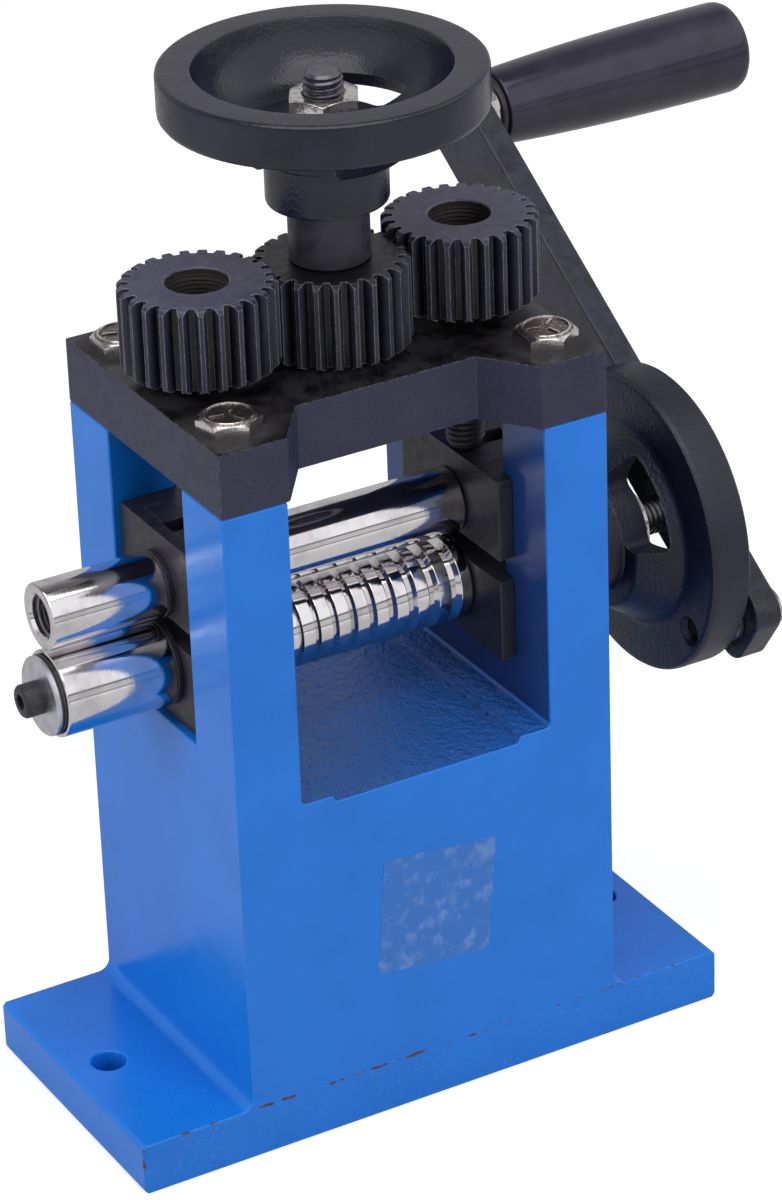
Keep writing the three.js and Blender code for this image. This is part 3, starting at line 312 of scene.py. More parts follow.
def blue_paint():
    """Thick glossy paint with orange peel, rough on the window's cast floor, chipped at the foot's edges,
    with painted shade on the window's inner walls and painted highlight specks on the foot.
    """
    paint = Finish("blue_paint")
    x, y, z = paint.axes()
    x, y = paint.maths("ABSOLUTE", x), paint.maths("ABSOLUTE", y)
    base = paint.mix(paint.patches(28, 4), (0.003, 0.160, 0.640), (0.007, 0.186, 0.720))
    inside = paint.times(paint.below(x, window_x - 0.4), paint.below(y, body_y - 0.3))
    floor_mask = paint.times(paint.below(z, ledge_z + 0.3), paint.above(z, foot_top + 20))
    floor_mask = paint.times(floor_mask, inside)
    reach_x = paint.span(x, (foot_x - 1.6) * MM, foot_x * MM)
    reach_y = paint.span(y, (body_y - 1.6) * MM, body_y * MM)
    low = paint.span(z, 1.7 * MM, 0.1 * MM)
    top = paint.span(paint.maths("ABSOLUTE", paint.maths("SUBTRACT", z, foot_top * MM)), 1.2 * MM, 0.0)
    edge = paint.times(paint.maths("MAXIMUM", reach_x, reach_y), paint.maths("MAXIMUM", low, top))
    edge = paint.maths("MAXIMUM", edge, paint.times(paint.times(reach_x, reach_y), 1.1))
    chips = paint.span(paint.plus(paint.times(edge, 0.38), paint.noise(2.6, 4)), 0.86, 0.91)
    worn = paint.mix(paint.patches(0.8, 2, 0.35, 0.65), (0.045, 0.022, 0.016), (0.12, 0.060, 0.040))
    pits = paint.times(paint.patches(1.2, 4, to=(0.25, 0.75), rough=0.7), floor_mask)
    base = paint.mix(pits, base, (0.004, 0.120, 0.560))
    # Painted shade: the inner faces of the window walls, above the ledge, darkened to deep navy where they
    # lie in shade
    painted_shade_wall = paint.span(x, (window_x + 0.9) * MM, (window_x + 0.2) * MM)
    painted_shade_zone = paint.times(paint.above(z, ledge_z + 1.2), paint.below(y, body_y - 0.7))
    base = paint.mix(paint.times(painted_shade_wall, painted_shade_zone), base, (0.016, 0.065, 0.260))
    # Painted highlight: pale blue specks on the foot, standing for glints off the orange peel
    painted_glints = paint.times(paint.patches(1.1, 4, 0.60, 0.68, (0, 0.7), 0.75), paint.below(z, foot_top + 0.4))
    base = paint.mix(painted_glints, base, (0.100, 0.270, 0.700))
    paint.use(Base_Color=paint.mix(chips, base, worn))
    fine = paint.bump(paint.noise(1.3, 3), 0.045)
    wave = paint.bump(paint.noise(16, 2), 0.22, fine)
    coarse = paint.times(paint.noise(2.4, 4, rough=0.65), floor_mask)
    paint.use(Normal=paint.bump(coarse, 4.5, wave))
    paint.use(Roughness=paint.plus(paint.patches(9, to=(0.16, 0.26)), paint.times(chips, 0.4)))
    return paint.material


def frame_outline():
    """Front view of the casting: foot, fillets, walls and the window, open at the top."""
    edge, fillet = 1.0, 3.2
    right = [(foot_x - edge, 0), (foot_x, edge), (foot_x, foot_top - edge), (foot_x - edge, foot_top)]
    right += arc((body_x + fillet, foot_top + fillet), fillet, 270, 180, 8)
    right += [(body_x, body_top), (window_x, body_top)]
    right += [(window_x, ledge_z + 0.8), (window_x - 0.8, ledge_z)]
    right += [(ledge_x, ledge_z), (ledge_x - 0.9, ledge_z - ledge_drop)]
    return right + [(-x, z) for x, z in reversed(right)]


casting = plate("cast_frame", frame_outline(), "y", -body_y, body_y)
for side in (-1, 1):
    ends = sorted((side * (window_x - 1), side * (body_x + 1)))
    combine(casting, block("slot_cut", (ends[0], -slot_y, slot_z), (ends[1], slot_y, body_top + 1)))
    hole = (side * foot_hole_x, 0)
    combine(casting, rod("hole_cut", "z", hole, foot_hole_radius, -1, foot_top + 1))
rounded(casting, 0.6, 3, 30)
finish_piece(casting, blue_paint(), "frame", ["frame_casting"])


# Blank label
# A small clear film stuck on the front of the frame, left without any print.

label_half = 16.3
label_corner = 1.2
label_centre = (1.2, 56.2)
label_tilt = -5.5


def label_film():
    """Thin clear film over blue paint, mottled by trapped air."""
    film = Finish("label_film")
    air = film.patches(3.5, 4, 0.50, 0.68)
    film.use(Base_Color=film.mix(air, (0.030, 0.160, 0.540), (0.120, 0.250, 0.580)))
    film.use(Roughness=film.patches(5, to=(0.22, 0.42)))
    film.use(Normal=film.bump(film.noise(2.2, 3), 0.06))
    return film.material


def label_outline():
    """Square with rounded corners, tilted on the face."""
    points = []
    reach = label_half - label_corner
    for quarter, (a, b) in enumerate(((1, 1), (-1, 1), (-1, -1), (1, -1))):
        points += arc((a * reach, b * reach), label_corner, quarter * 90, quarter * 90 + 90, 4)
    turn = math.radians(label_tilt)
    return [(label_centre[0] + a * math.cos(turn) - b * math.sin(turn),
             label_centre[1] + a * math.sin(turn) + b * math.cos(turn)) for a, b in points]


label = plate("blank_label", label_outline(), "y", -body_y - 0.08, -body_y + 0.3)
finish_piece(label, label_film(), "frame")


# Bearing blocks
# Four blocks milled from black oxided steel, two lower ones at rest in the slots, two upper ones sliding.
# Each has a flange inside the window and a bronze bush; the upper ones are the same part turned over.


def machined_black():
    """Oiled black oxide over milled steel, brownish and half-matt, rubbed grey on its edges."""
    oxide = Finish("machined_black")
    cloud = oxide.patches(6, 5, 0.35, 0.70, rough=0.65)
    tone = oxide.mix(cloud, (0.014, 0.013, 0.019), (0.032, 0.029, 0.040))
    rub = oxide.times(oxide.edges(0.5), oxide.patches(1.6, 4, 0.35, 0.60, (0.1, 0.9)))
    oxide.use(Base_Color=oxide.mix(rub, tone, (0.16, 0.15, 0.15)))
    oxide.use(Roughness=oxide.patches(3, 4, to=(0.34, 0.56)))
    oxide.use(Normal=oxide.bump(oxide.noise(1.1, 4, rough=0.7), 0.06))
    return oxide.material


def mottled(name, tones, dark, light, dull, dull_range, grain=None, **values):
    """Material with patches of two tones and of gloss, and a grain of (size, detail, rough, depth)."""
    look = Finish(name)
    look.use(Base_Color=look.mix(look.patches(*tones), dark, light))
    look.use(Roughness=look.patches(*dull, to=dull_range))
    if grain:
        size, detail, rough, depth = grain
        look.use(Normal=look.bump(look.noise(size, detail, rough=rough), depth))
    look.use(**values)
    return look.material


black_oxide = machined_black()
bronze = mottled("bearing_bronze", (4, 3), (0.36, 0.21, 0.08), (0.50, 0.33, 0.14), (2, 3), (0.25, 0.45),
                 Metallic=1.0)
flange_y = corners("lower_block_left")[1][1]
lower_z = node_centre("lower_bush_left")[2]
upper_z = node_centre("upper_bush_left")[2]
bush_radius = corners("lower_bush_left")[1][1]
bush_bore = 5.58
keeper_low, keeper_high = corners("screw_keeper_right")


def bearing_block(name, node, axis_z):
    """Block with its flange, bored for the bush."""
    low, high = corners(node)
    side = 1 if low[0] > 0 else -1
    inner, outer = (low[0], high[0]) if side > 0 else (high[0], low[0])
    flange = sorted((inner, side * (window_x - 0.1)))
    body = sorted((inner + side, outer))
    piece = block(name, (flange[0], -flange_y, low[2]), (flange[1], flange_y, high[2]))
    reach = slot_y - 0.1
    combine(piece, block("block_body", (body[0], -reach, low[2]), (body[1], reach, high[2])), "UNION")
    return combine(piece, rod("bore_cut", "x", (0, axis_z), bush_radius + 0.02, -60, 60, 64))


for side, sign in (("left", -1), ("right", 1)):
    for level, axis_z, body in (("lower", lower_z, "frame"), ("upper", upper_z, "carriage")):
        node = f"{level}_block_{side}"
        piece = bearing_block(f"{level}_bearing_{side}", node, axis_z)
        if level == "upper":
            top = corners(node)[1][2]
            ends = sorted((sign * 30, sign * (keeper_high[0] + 0.05)))
            half = keeper_high[1] + 0.05
            combine(piece, block("recess_cut", (ends[0], -half, keeper_low[2]), (ends[1], half, top + 1)))
        rounded(piece, 0.35, 2, 40)
        finish_piece(piece, black_oxide, body, [node])
        shell = f"{level}_bush_{side}"
        low, high = corners(shell)
        profile = [(bush_bore, low[0]), (bush_radius, low[0]), (bush_radius, high[0]), (bush_bore, high[0])]
        sleeve = turned(f"{level}_sleeve_{side}", profile, "x", (0, axis_z))
        finish_piece(sleeve, bronze, body, [shell])


# Rolls
# Hardened steel, ground and polished: the upper one plain, the lower one with wire grooves that widen.
# Their journals run in the bushes, and their right ends carry the coupling pinions and the crank wheel.


def polished_steel():
    """Ground and polished steel, with faint rings round it, thin oil and a few dull patches."""
    steel = Finish("polished_steel")
    rings = steel.noise(0.35, 3, stretch=(1, 0.02, 0.02))
    patch = steel.patches(7, 4, 0.45, 0.75)
    steel.use(Base_Color=steel.mix(patch, (0.82, 0.79, 0.79), (0.60, 0.57, 0.58)))
    dull = steel.span(patch, 0, 1, 0.05, 0.12)
    steel.use(Roughness=steel.plus(dull, steel.span(rings, 0.3, 0.7, 0, 0.05)))
    steel.use(Normal=steel.bump(rings, 0.006))
    steel.use(Metallic=1.0)
    return steel.material


def rounded_end(radius, along, inward, edge):
    """Profile points of an outer corner broken by an edge, going out along a face and then inward."""
    soft = edge * 0.3
    return [(radius - edge, along), (radius - soft, along + inward * soft), (radius, along + inward * edge)]


roll_steel = polished_steel()
roll_half = 31.2
journal_radius = 5.5
journal_end = 54.1
stud_radius = 4.95
lower_radius = corners("lower_roll")[1][1]
upper_radius = corners("upper_roll")[1][1]
groove_count = 11
groove_first = 1.0
groove_last = 3.2


def groove_profile():
    """Wire grooves, each wider than the one before, with equal lands and a small round on each lip."""
    widths = [groove_first + (groove_last - groove_first) * i / (groove_count - 1)
              for i in range(groove_count)]
    land = (2 * roll_half - sum(widths)) / (groove_count + 1)
    points, x, lip = [], -roll_half + land, 0.18
    for width in widths:
        half = width / 2
        points += [(lower_radius, x - lip), (lower_radius - lip * 0.4, x + lip * 0.3)]
        points += [(lower_radius - half, x + half), (lower_radius - lip * 0.4, x + width - lip * 0.3)]
        points += [(lower_radius, x + width + lip)]
        x += width + land
    return points


def polished(name, profile, node, body):
    """Polished steel piece turned about the axis of its body's roll."""
    piece = turned(name, profile, "x", (0, lower_z if body == "drive" else upper_z), 128)
    return finish_piece(piece, roll_steel, body, [node], 20)


lower_left, lower_right = [corner[0] for corner in corners("lower_roll")]
shaft_thread = corners("crank_wheel_nut")[0][0]
profile = [(0, lower_left), (journal_radius - 0.4, lower_left), (journal_radius, lower_left + 0.4)]
profile += [(journal_radius, -roll_half)] + rounded_end(lower_radius, -roll_half, 1, 0.5)
profile += groove_profile() + rounded_end(lower_radius, roll_half, -1, 0.5)[::-1]
profile += [(journal_radius, roll_half), (journal_radius, journal_end), (stud_radius, journal_end)]
profile += [(stud_radius, shaft_thread), (0, shaft_thread)]
polished("grooved_roll", profile, "lower_roll", "drive")

upper_left, upper_right = [corner[0] for corner in corners("upper_roll")]
ring_radius, ring_stop = 5.25, -53.2
pinion_radius, clip_radius, clip_low, clip_high = 3.9, 3.3, 59.4, 60.5
profile = [(0, upper_left), (4.8, upper_left), (ring_radius, upper_left + 0.5), (ring_radius, ring_stop)]
profile += [(journal_radius, ring_stop), (journal_radius, -roll_half)]
profile += rounded_end(upper_radius, -roll_half, 1, 0.5)
profile += rounded_end(upper_radius, roll_half, -1, 0.5)[::-1]
profile += [(journal_radius, roll_half), (journal_radius, journal_end), (pinion_radius, journal_end)]
profile += [(pinion_radius, clip_low), (clip_radius, clip_low), (clip_radius, clip_high)]
profile += [(pinion_radius, clip_high), (pinion_radius, upper_right), (0, upper_right)]
polished("plain_roll", profile, "upper_roll", "top_roll")


# End rings
# Polished rings on the left ends of the rolls. The upper one screws on the shaft and its bore stays open,
# the lower one is held by a washer and a black socket head screw, and a dark washer lies behind each.


def ring_profile(inner, outer, low, high, edge):
    """Plain ring with its four edges broken."""
    return [(inner + edge, low), (outer - edge, low), (outer, low + edge), (outer, high - edge),
            (outer - edge, high), (inner + edge, high), (inner, high - edge), (inner, low + edge)]


def plain_ring(name, node, centre, inner, material, body, edge=0.2, axis="x"):
    """Ring with broken edges in a node's place."""
    low, high = corners(node)
    side = "xyz".index(axis)
    profile = ring_profile(inner, (high[1] - low[1]) / 2, low[side], high[side], edge)
    finish_piece(turned(name, profile, axis, centre), material, body, [node])


def thread(name, axis, centre, radius, pitch, low, high, depth=0.62, inside=False):
    """Helical ridge on a shaft, or in a bore if inside is true, fading out at both ends."""
    build = bmesh.new()
    steps = 40
    sign = -1 if inside else 1
    root = radius if inside else radius - depth
    foot = root - sign * 0.05
    count = int((high - low - pitch) / pitch * steps)
    rows = []
    for i in range(count + 1):
        middle = low + pitch / 2 + pitch * i / steps
        fade = min(1, i / (steps / 2), (count - i) / (steps / 2))
        rise = sign * depth * max(fade, 0.02)
        section = [(foot, -0.42), (root + rise, -0.09), (root + rise, 0.09), (foot, 0.42)]
        row = []
        for r, offset in section:
            a, b = polar(centre, r, 360 * i / steps)
            d = middle + offset * pitch
            row.append(build.verts.new((d, a, b) if axis == "x" else (a, b, d)))
        rows.append(row)
    for one, two in zip(rows, rows[1:]):
        for k in range(4):
            build.faces.new((one[k], one[(k + 1) % 4], two[(k + 1) % 4], two[k]))
    build.faces.new(rows[0])
    build.faces.new(rows[-1])
    return new_piece(name, build)


def join(piece, other):
    """Adds another piece's mesh to this one."""
    build = bmesh.new()
    build.from_mesh(piece.data)
    build.from_mesh(other.data)
    build.to_mesh(piece.data)
    build.free()
    bpy.data.objects.remove(other)
    return piece


oiled_steel = mottled("dark_steel", (3, 4), (0.16, 0.16, 0.175), (0.30, 0.30, 0.32), (2, 3), (0.26, 0.42),
                      (0.6, 2, 0.55, 0.012), Metallic=1.0)
zinc = mottled("zinc_plate", (2.5, 4), (0.56, 0.56, 0.60), (0.76, 0.76, 0.79), (1.5, 3), (0.30, 0.48),
               (0.8, 3, 0.55, 0.015), Metallic=1.0)
lower_axis, upper_axis = (0, lower_z), (0, upper_z)

low, high = corners("upper_end_ring")
ring_bore, thread_end = 5.42, -72.2
profile = [(ring_bore + 0.7, low[0]), (upper_radius - 0.5, low[0]), (upper_radius - 0.12, low[0] + 0.15)]
profile += [(upper_radius, low[0] + 0.55), (upper_radius, high[0] - 0.4), (upper_radius - 0.4, high[0])]
profile += [(ring_bore, high[0]), (ring_bore, low[0] + 0.8)]
polished("upper_ring", profile, "upper_end_ring", "top_roll")
thread_start, bore = low[0] + 0.6, ring_bore + 0.02
coil = thread("upper_ring_thread", "x", upper_axis, bore, 1.25, thread_start, thread_end, 0.5, True)
finish_piece(coil, oiled_steel, "top_roll")

low, high = corners("lower_end_ring")
shaft_bore = 5.55
shoulder = lower_radius - 1.5
start, end = low[0], low[0] + 1.0
profile = [(shaft_bore, end), (lower_radius - 0.5, end), (lower_radius - 0.1, end + 0.2)]
profile += [(lower_radius, end + 0.6), (lower_radius, high[0] - 0.4), (lower_radius - 0.4, high[0])]
polished("lower_ring", profile + [(shaft_bore, high[0])], "lower_end_ring", "drive")
profile = [(shaft_bore, start), (shoulder, start), (shoulder, start + 0.35), (shoulder + 0.6, start + 0.42)]
profile += [(shoulder + 0.6, start + 0.58), (shoulder, start + 0.65), (shoulder, end), (shaft_bore, end)]
piece = turned("ring_shoulder", profile, "x", lower_axis)
finish_piece(piece, black_oxide, "drive")

for level, centre, body in (("lower", lower_axis, "drive"), ("upper", upper_axis, "top_roll")):
    node = f"{level}_spacer_washer"
    plain_ring(f"{level}_spacer_ring", node, centre, shaft_bore, black_oxide, body)
plain_ring("end_washer", "ring_washer", lower_axis, 2.7, zinc, "drive", 0.45)

low, high = corners("ring_screw")
head_radius, head_end, socket_flats = 4.3, low[0] + 5.2, 4
profile = [(0, low[0]), (3.4, low[0]), (3.9, low[0] + 0.2), (4.2, low[0] + 0.55)]
profile += [(head_radius, low[0] + 1.0), (head_radius, head_end), (2.5, head_end)]
profile += [(2.5, high[0]), (0, high[0])]
piece = turned("socket_screw", profile, "x", lower_axis)
socket = arc(lower_axis, socket_flats / math.sqrt(3), 0, 300, 5)
combine(piece, plate("socket_cut", socket, "x", low[0] - 1, low[0] + 2.6))
for angle in range(0, 360, 12):
    ends = [polar(lower_axis, radius, angle + k) for radius, k in ((4.55, -2.4), (4.55, 2.4), (4.18, 0))]
    combine(piece, plate("knurl_cut", ends, "x", low[0] + 1.1, head_end + 1))
finish_piece(piece, black_oxide, "drive", ["ring_screw"])


# Coupling pinions
# Hidden behind the crank wheel: two long-toothed steel pinions that turn the upper roll against the lower.
# They are shown as packed, like the hidden keys and retaining rings, which take the same steel here.


def repaint(node, material):
    """Gives a material to a node that is shown as packed."""
    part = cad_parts[node]
    part.data.materials.clear()
    part.data.materials.append(material)


for node in ("lower_pinion", "upper_pinion", "lower_pinion_key", "upper_pinion_key", "upper_circlip",
             "crank_wheel_key", "centre_gear_key", "gear_key_left", "gear_key_right", "spindle_circlip"):
    repaint(node, oiled_steel)


# Cap plate
# A thick steel plate, blackened, bolted across the two walls and cut back in the middle at front and back.

bolt_x, bolt_y = [-v for v in node_centre("cap_bolt_front_left")[:2]]


def cap_black():
    """Thick black oxide: flat and slightly blue on the sides, wet with oil on top, nicked on the edges."""
    oxide = Finish("cap_black")
    x, y, z = oxide.axes()
    sides = oxide.mix(oxide.patches(14, 4), (0.012, 0.015, 0.038), (0.020, 0.023, 0.053))
    sides = oxide.mix(oxide.patches(0.9, 4, 0.52, 0.72, (0, 0.5), 0.7), sides, (0.050, 0.052, 0.085))
    puddle = oxide.patches(9, 5, 0.40, 0.60, rough=0.6)
    top = oxide.mix(puddle, (0.006, 0.005, 0.006), (0.026, 0.024, 0.028))
    on_top = oxide.above(z, cap_high[2] - 0.25)
    nick = oxide.times(oxide.edges(0.5), oxide.patches(1.1, 4, 0.45, 0.60, rough=0.7))
    oxide.use(Base_Color=oxide.mix(nick, oxide.mix(on_top, sides, top), (0.24, 0.23, 0.25)))
    reach_x = oxide.maths("SUBTRACT", oxide.maths("ABSOLUTE", x), bolt_x * MM)
    reach_y = oxide.maths("SUBTRACT", oxide.maths("ABSOLUTE", y), bolt_y * MM)
    square = oxide.plus(oxide.times(reach_x, reach_x), oxide.times(reach_y, reach_y))
    reach = oxide.maths("POWER", square, 0.5)
    dirt = oxide.span(oxide.plus(reach, oxide.times(puddle, 3 * MM)), 15 * MM, 11 * MM)
    wet = oxide.plus(oxide.span(puddle, 0, 1, 0.10, 0.36), oxide.times(dirt, 0.45))
    dry = oxide.times(oxide.patches(4, 4, to=(0.38, 0.50)), oxide.maths("SUBTRACT", 1, on_top))
    oxide.use(Roughness=oxide.plus(oxide.times(wet, on_top), dry))
    oxide.use(Normal=oxide.bump(oxide.noise(0.9, 3), 0.02, oxide.bump(oxide.noise(6, 3), 0.05)))
    return oxide.material


cap_bottom, cap_top, cap_y = cap_low[2], cap_high[2], cap_high[1]
recess_edge, recess_x, recess_y = 35.0, 24.95, 25.95
quarter = [(recess_x, -recess_y), (recess_edge, -cap_y), (body_x, -cap_y)]
front = [(-x, y) for x, y in reversed(quarter)] + quarter
outline = front + [(x, -y) for x, y in reversed(front)]
cap = plate("top_plate", outline, "z", cap_bottom, cap_top)
screw_x = node_centre("pressure_screw_right")[0]
for x, radius in ((0, 8.03), (screw_x, 5.08), (-screw_x, 5.08)):
    combine(cap, rod("cap_cut", "z", (x, 0), radius, cap_bottom - 1, cap_top + 1, 64))
rounded(cap, 0.45, 2, 25)
finish_piece(cap, cap_black(), "frame", ["cap_plate"])


# Cap bolts
# Four bright nickel-plated hex bolts with domed heads and three raised bars, each stopped at its own angle.


def nickel_plate():
    """Warm nickel, shiny and uneven, with brown stains that fill the sunk tops of the cap bolts."""
    nickel = Finish("nickel_plate")
    x, z = nickel.axes()[0], nickel.axes()[2]
    off_disc = nickel.maths("ABSOLUTE", nickel.maths("SUBTRACT", z, (bolt_disc + 0.12) * MM))
    sunk = nickel.times(nickel.below(off_disc, 0.22), nickel.below(nickel.maths("ABSOLUTE", x), body_x))
    grime = nickel.times(sunk, nickel.patches(0.8, 4, 0.35, 0.55, (0.5, 1.0), 0.7))
    stain = nickel.maths("MAXIMUM", nickel.patches(1.5, 5, 0.52, 0.70, rough=0.7), grime)
    nickel.use(Base_Color=nickel.mix(stain, (0.80, 0.76, 0.74), (0.16, 0.13, 0.115)))
    nickel.use(Roughness=nickel.span(stain, 0, 1, 0.16, 0.42))
    nickel.use(Normal=nickel.bump(nickel.noise(0.9, 4), 0.05))
    nickel.use(Metallic=1.0)
    return nickel.material


def hexagon(name, axis, centre, flats, low, high, start=0, low_edge=True):
    """Hex bar with its corners turned down at the high end, and at the low end too unless told not to."""
    corner = flats / math.sqrt(3)
    drop = (corner - flats / 2) * 0.62
    face, reach = flats / 2 - 0.15, corner + 0.02
    profile = [(0, low)] + ([(face, low), (reach, low + drop)] if low_edge else [(reach, low)])
    profile += [(reach, high - drop), (face, high), (0, high)]
    bar = plate(name, arc(centre, corner, start, start + 300, 5), axis, low, high)
    combine(bar, turned("hex_turning", profile, axis, centre, 72), "INTERSECT")
    return rounded(bar, 0.12, 2, 30)


def swung(piece, centre, angle):
    """Turns a piece in degrees about an upright line."""
    place = Matrix.Translation((centre[0] * MM, centre[1] * MM, 0))
    piece.data.transform(place @ Matrix.Rotation(math.radians(angle), 4, "Z") @ place.inverted())
    return piece


crown = corners("cap_bolt_front_left")[1][2] - 0.1
bolt_disc = crown - 0.45
bright_nickel = nickel_plate()
bolt_turns = {"front_left": 38, "front_right": 32, "back_left": 30, "back_right": 15}
bolt_flats = 14
corner = bolt_flats / math.sqrt(3)
head = [(0, cap_top - 1), (corner + 0.1, cap_top - 1), (corner + 0.1, crown - 1.4), (7.0, crown - 0.65)]
head += [(6.4, crown - 0.22), (6.05, crown), (5.75, crown - 0.05), (5.45, bolt_disc), (0, bolt_disc)]
for place, angle in bolt_turns.items():
    node = f"cap_bolt_{place}"
    centre = node_centre(node)[:2]
    bolt = plate(f"hex_bolt_{place}", arc(centre, corner, 0, 300, 5), "z", cap_top, crown)
    combine(bolt, turned("head_turning", head, "z", centre, 72), "INTERSECT")
    rounded(bolt, 0.16, 2, 30)
    mark = [(1.2, -0.8), (1.2, 0.0), (4.6, 0.0), (5.1, -0.2), (5.1, -0.8)]
    for i in range(3):
        side = [(centre[0] + r, crown + h) for r, h in mark]
        bar = rounded(plate("bar", side, "y", centre[1] - 0.38, centre[1] + 0.38), 0.15, 2, 40)
        join(bolt, swung(bar, centre, 120 * i + 10))
    swung(bolt, centre, angle)
    join(bolt, rod("shank", "z", centre, 4.0, corners(node)[0][2], cap_top + 0.5))
    finish_piece(bolt, bright_nickel, "frame", [node])


# Pressure screws and side gears
# A black gear on each screw, cut with straight teeth and bored from above. The screws pass through the
# cap plate, and their feet turn in the upper blocks under horseshoe keepers.


def gear_outline(centre, teeth, module):
    """Involute outline with a tooth along X."""
    pitch = module * teeth / 2
    base = pitch * math.cos(math.radians(20))
    tip, root = pitch + 0.88 * module, pitch - 1.25 * module

    def involute(radius):
        roll = math.acos(base / max(base, radius))
        return math.tan(roll) - roll

    half = math.pi / (2 * teeth) - 0.07 / pitch + involute(pitch)
    radii = [root, root + 0.35] + [base + (tip - base) * k / 3 for k in range(4)]
    flank = [(r, half - involute(r) + (0.012 if r == root else 0)) for r in radii]
    points = []
    for i in range(teeth):
        middle = 2 * math.pi * i / teeth
        for radius, angle in [(r, -a) for r, a in flank] + flank[::-1]:
            points.append(polar(centre, radius, math.degrees(middle + angle)))
    return points


gear_teeth = 25
gear_module = screw_x / gear_teeth
gear_radius = screw_x / 2


def gear_black():
    """Black oxide over hobbed steel, a touch purple, with painted shade deep between the teeth, top faces
    lighter partly by painted light, and tooth edges rubbed bright, partly wear and partly painted highlight.
    """
    oxide = Finish("gear_black")
    x, y, z = oxide.axes()
    cloud = oxide.patches(5, 5)
    sides = oxide.mix(cloud, (0.013, 0.013, 0.026), (0.024, 0.023, 0.042))
    # Partly painted light: the top faces take a lighter, bluer tone, partly the milled face and partly light
    # falling from above
    face = oxide.mix(cloud, (0.034, 0.032, 0.066), (0.062, 0.058, 0.104))
    gear_top = corners("side_gear_left")[1][2]
    # Painted shade: the flanks darken to near black towards the tooth roots, where the gaps between the
    # teeth lie in shade
    across = oxide.maths("SUBTRACT", oxide.maths("ABSOLUTE", x), screw_x * MM)
    square = oxide.times(y, y)
    reach, middle = [oxide.maths("SQRT", oxide.plus(oxide.times(v, v), square)) for v in (across, x)]
    nearest = oxide.maths("MINIMUM", reach, middle)
    depth = oxide.span(nearest, (gear_radius - 2.0) * MM, (gear_radius + 0.2) * MM)
    sides = oxide.mix(depth, (0.003, 0.003, 0.005), sides)
    tone = oxide.mix(oxide.above(z, gear_top - 0.3), sides, face)
    pocket = oxide.times(oxide.below(reach, 8.2), oxide.below(z, gear_top - 0.5))
    tone = oxide.mix(pocket, tone, (0.032, 0.026, 0.025))
    # Rubbed edges, partly wear and partly painted highlight: thin pale lines along the tooth edges
    rub = oxide.times(oxide.edges(0.32), oxide.patches(1.2, 5, 0.36, 0.58, (0.15, 1.0), 0.7))
    oxide.use(Base_Color=oxide.mix(rub, tone, (0.50, 0.49, 0.55)))
    oxide.use(Roughness=oxide.patches(2, 4, to=(0.32, 0.50)))
    oxide.use(Normal=oxide.bump(oxide.noise(0.8, 4), 0.035))
    return oxide.material


def spur_gear(name, node, bore, pocket=None):
    """Gear bored for its shaft; a side gear has a wider pocket from the top: (radius, floor height)."""
    low, high = corners(node)
    x = math.copysign(screw_x, low[0]) if pocket else 0
    gear = plate(name, gear_outline((x, 0), gear_teeth, gear_module), "z", low[2], high[2])
    slope = 1.1
    turning = [(0, low[2]), (gear_radius, low[2]), (gear_radius + 1.5, low[2] + slope)]
    turning += [(gear_radius + 1.5, high[2] - slope), (gear_radius, high[2]), (0, high[2])]
    combine(gear, turned("end_turning", turning, "z", (x, 0), 150), "INTERSECT")
    rounded(gear, 0.2, 2, 50)
    cut = [(0, low[2] - 1), (bore, low[2] - 1)]
    if pocket:
        cut += [(bore, pocket[1]), (pocket[0], pocket[1])]
        marks = int((high[2] - 0.5 - pocket[1]) / 1.1)
        cut += [(pocket[0] + 0.14 * (i % 2), pocket[1] + 0.55 * i) for i in range(1, 2 * marks)]
        cut += [(pocket[0], high[2] - 0.35), (pocket[0] + 0.45, high[2] + 0.1)]
        cut += [(pocket[0] + 0.45, high[2] + 1), (0, high[2] + 1)]
    else:
        cut += [(bore, high[2] + 1), (0, high[2] + 1)]
    return combine(gear, turned("gear_cut", cut, "z", (x, 0), 72))


gear_oxide = gear_black()
gear_pocket = (7.8, 211)
neck_low, neck_high, ridge_low, ridge_high = 156.9, 160.3, 160.5, 206.5
for side, sign in (("left", -1), ("right", 1)):
    gear = spur_gear(f"spur_gear_{side}", f"side_gear_{side}", 5.06, gear_pocket)
    finish_piece(gear, gear_oxide, f"{side}_screw", [f"side_gear_{side}"], 28)
    low, high = corners(f"pressure_screw_{side}")
    profile = [(0, low[2]), (4.0, low[2]), (4.2, low[2] + 0.3), (4.2, neck_low), (3.0, neck_low)]
    profile += [(3.0, neck_high), (4.3, neck_high + 0.1), (4.4, ridge_low + 0.5), (4.4, ridge_high + 0.9)]
    profile += [(3.9, high[2]), (0, high[2])]
    screw = turned(f"screw_{side}", profile, "z", (sign * screw_x, 0), 64)
    join(screw, thread("ridge", "z", (sign * screw_x, 0), 5.0, 1.5, ridge_low, ridge_high))
    finish_piece(screw, black_oxide, f"{side}_screw", [f"pressure_screw_{side}"])
    repaint(f"screw_keeper_{side}", black_oxide)


# Spindle and centre gear
# The spindle turns in a bronze bush in the cap plate, held below by a washer and a retaining ring.
# It carries the centre gear, a plain spacer sleeve, and the handwheel on its threaded top.

gear = spur_gear("spur_gear_centre", "centre_gear", 6.05)
finish_piece(gear, gear_oxide, "adjuster", ["centre_gear"], 28)

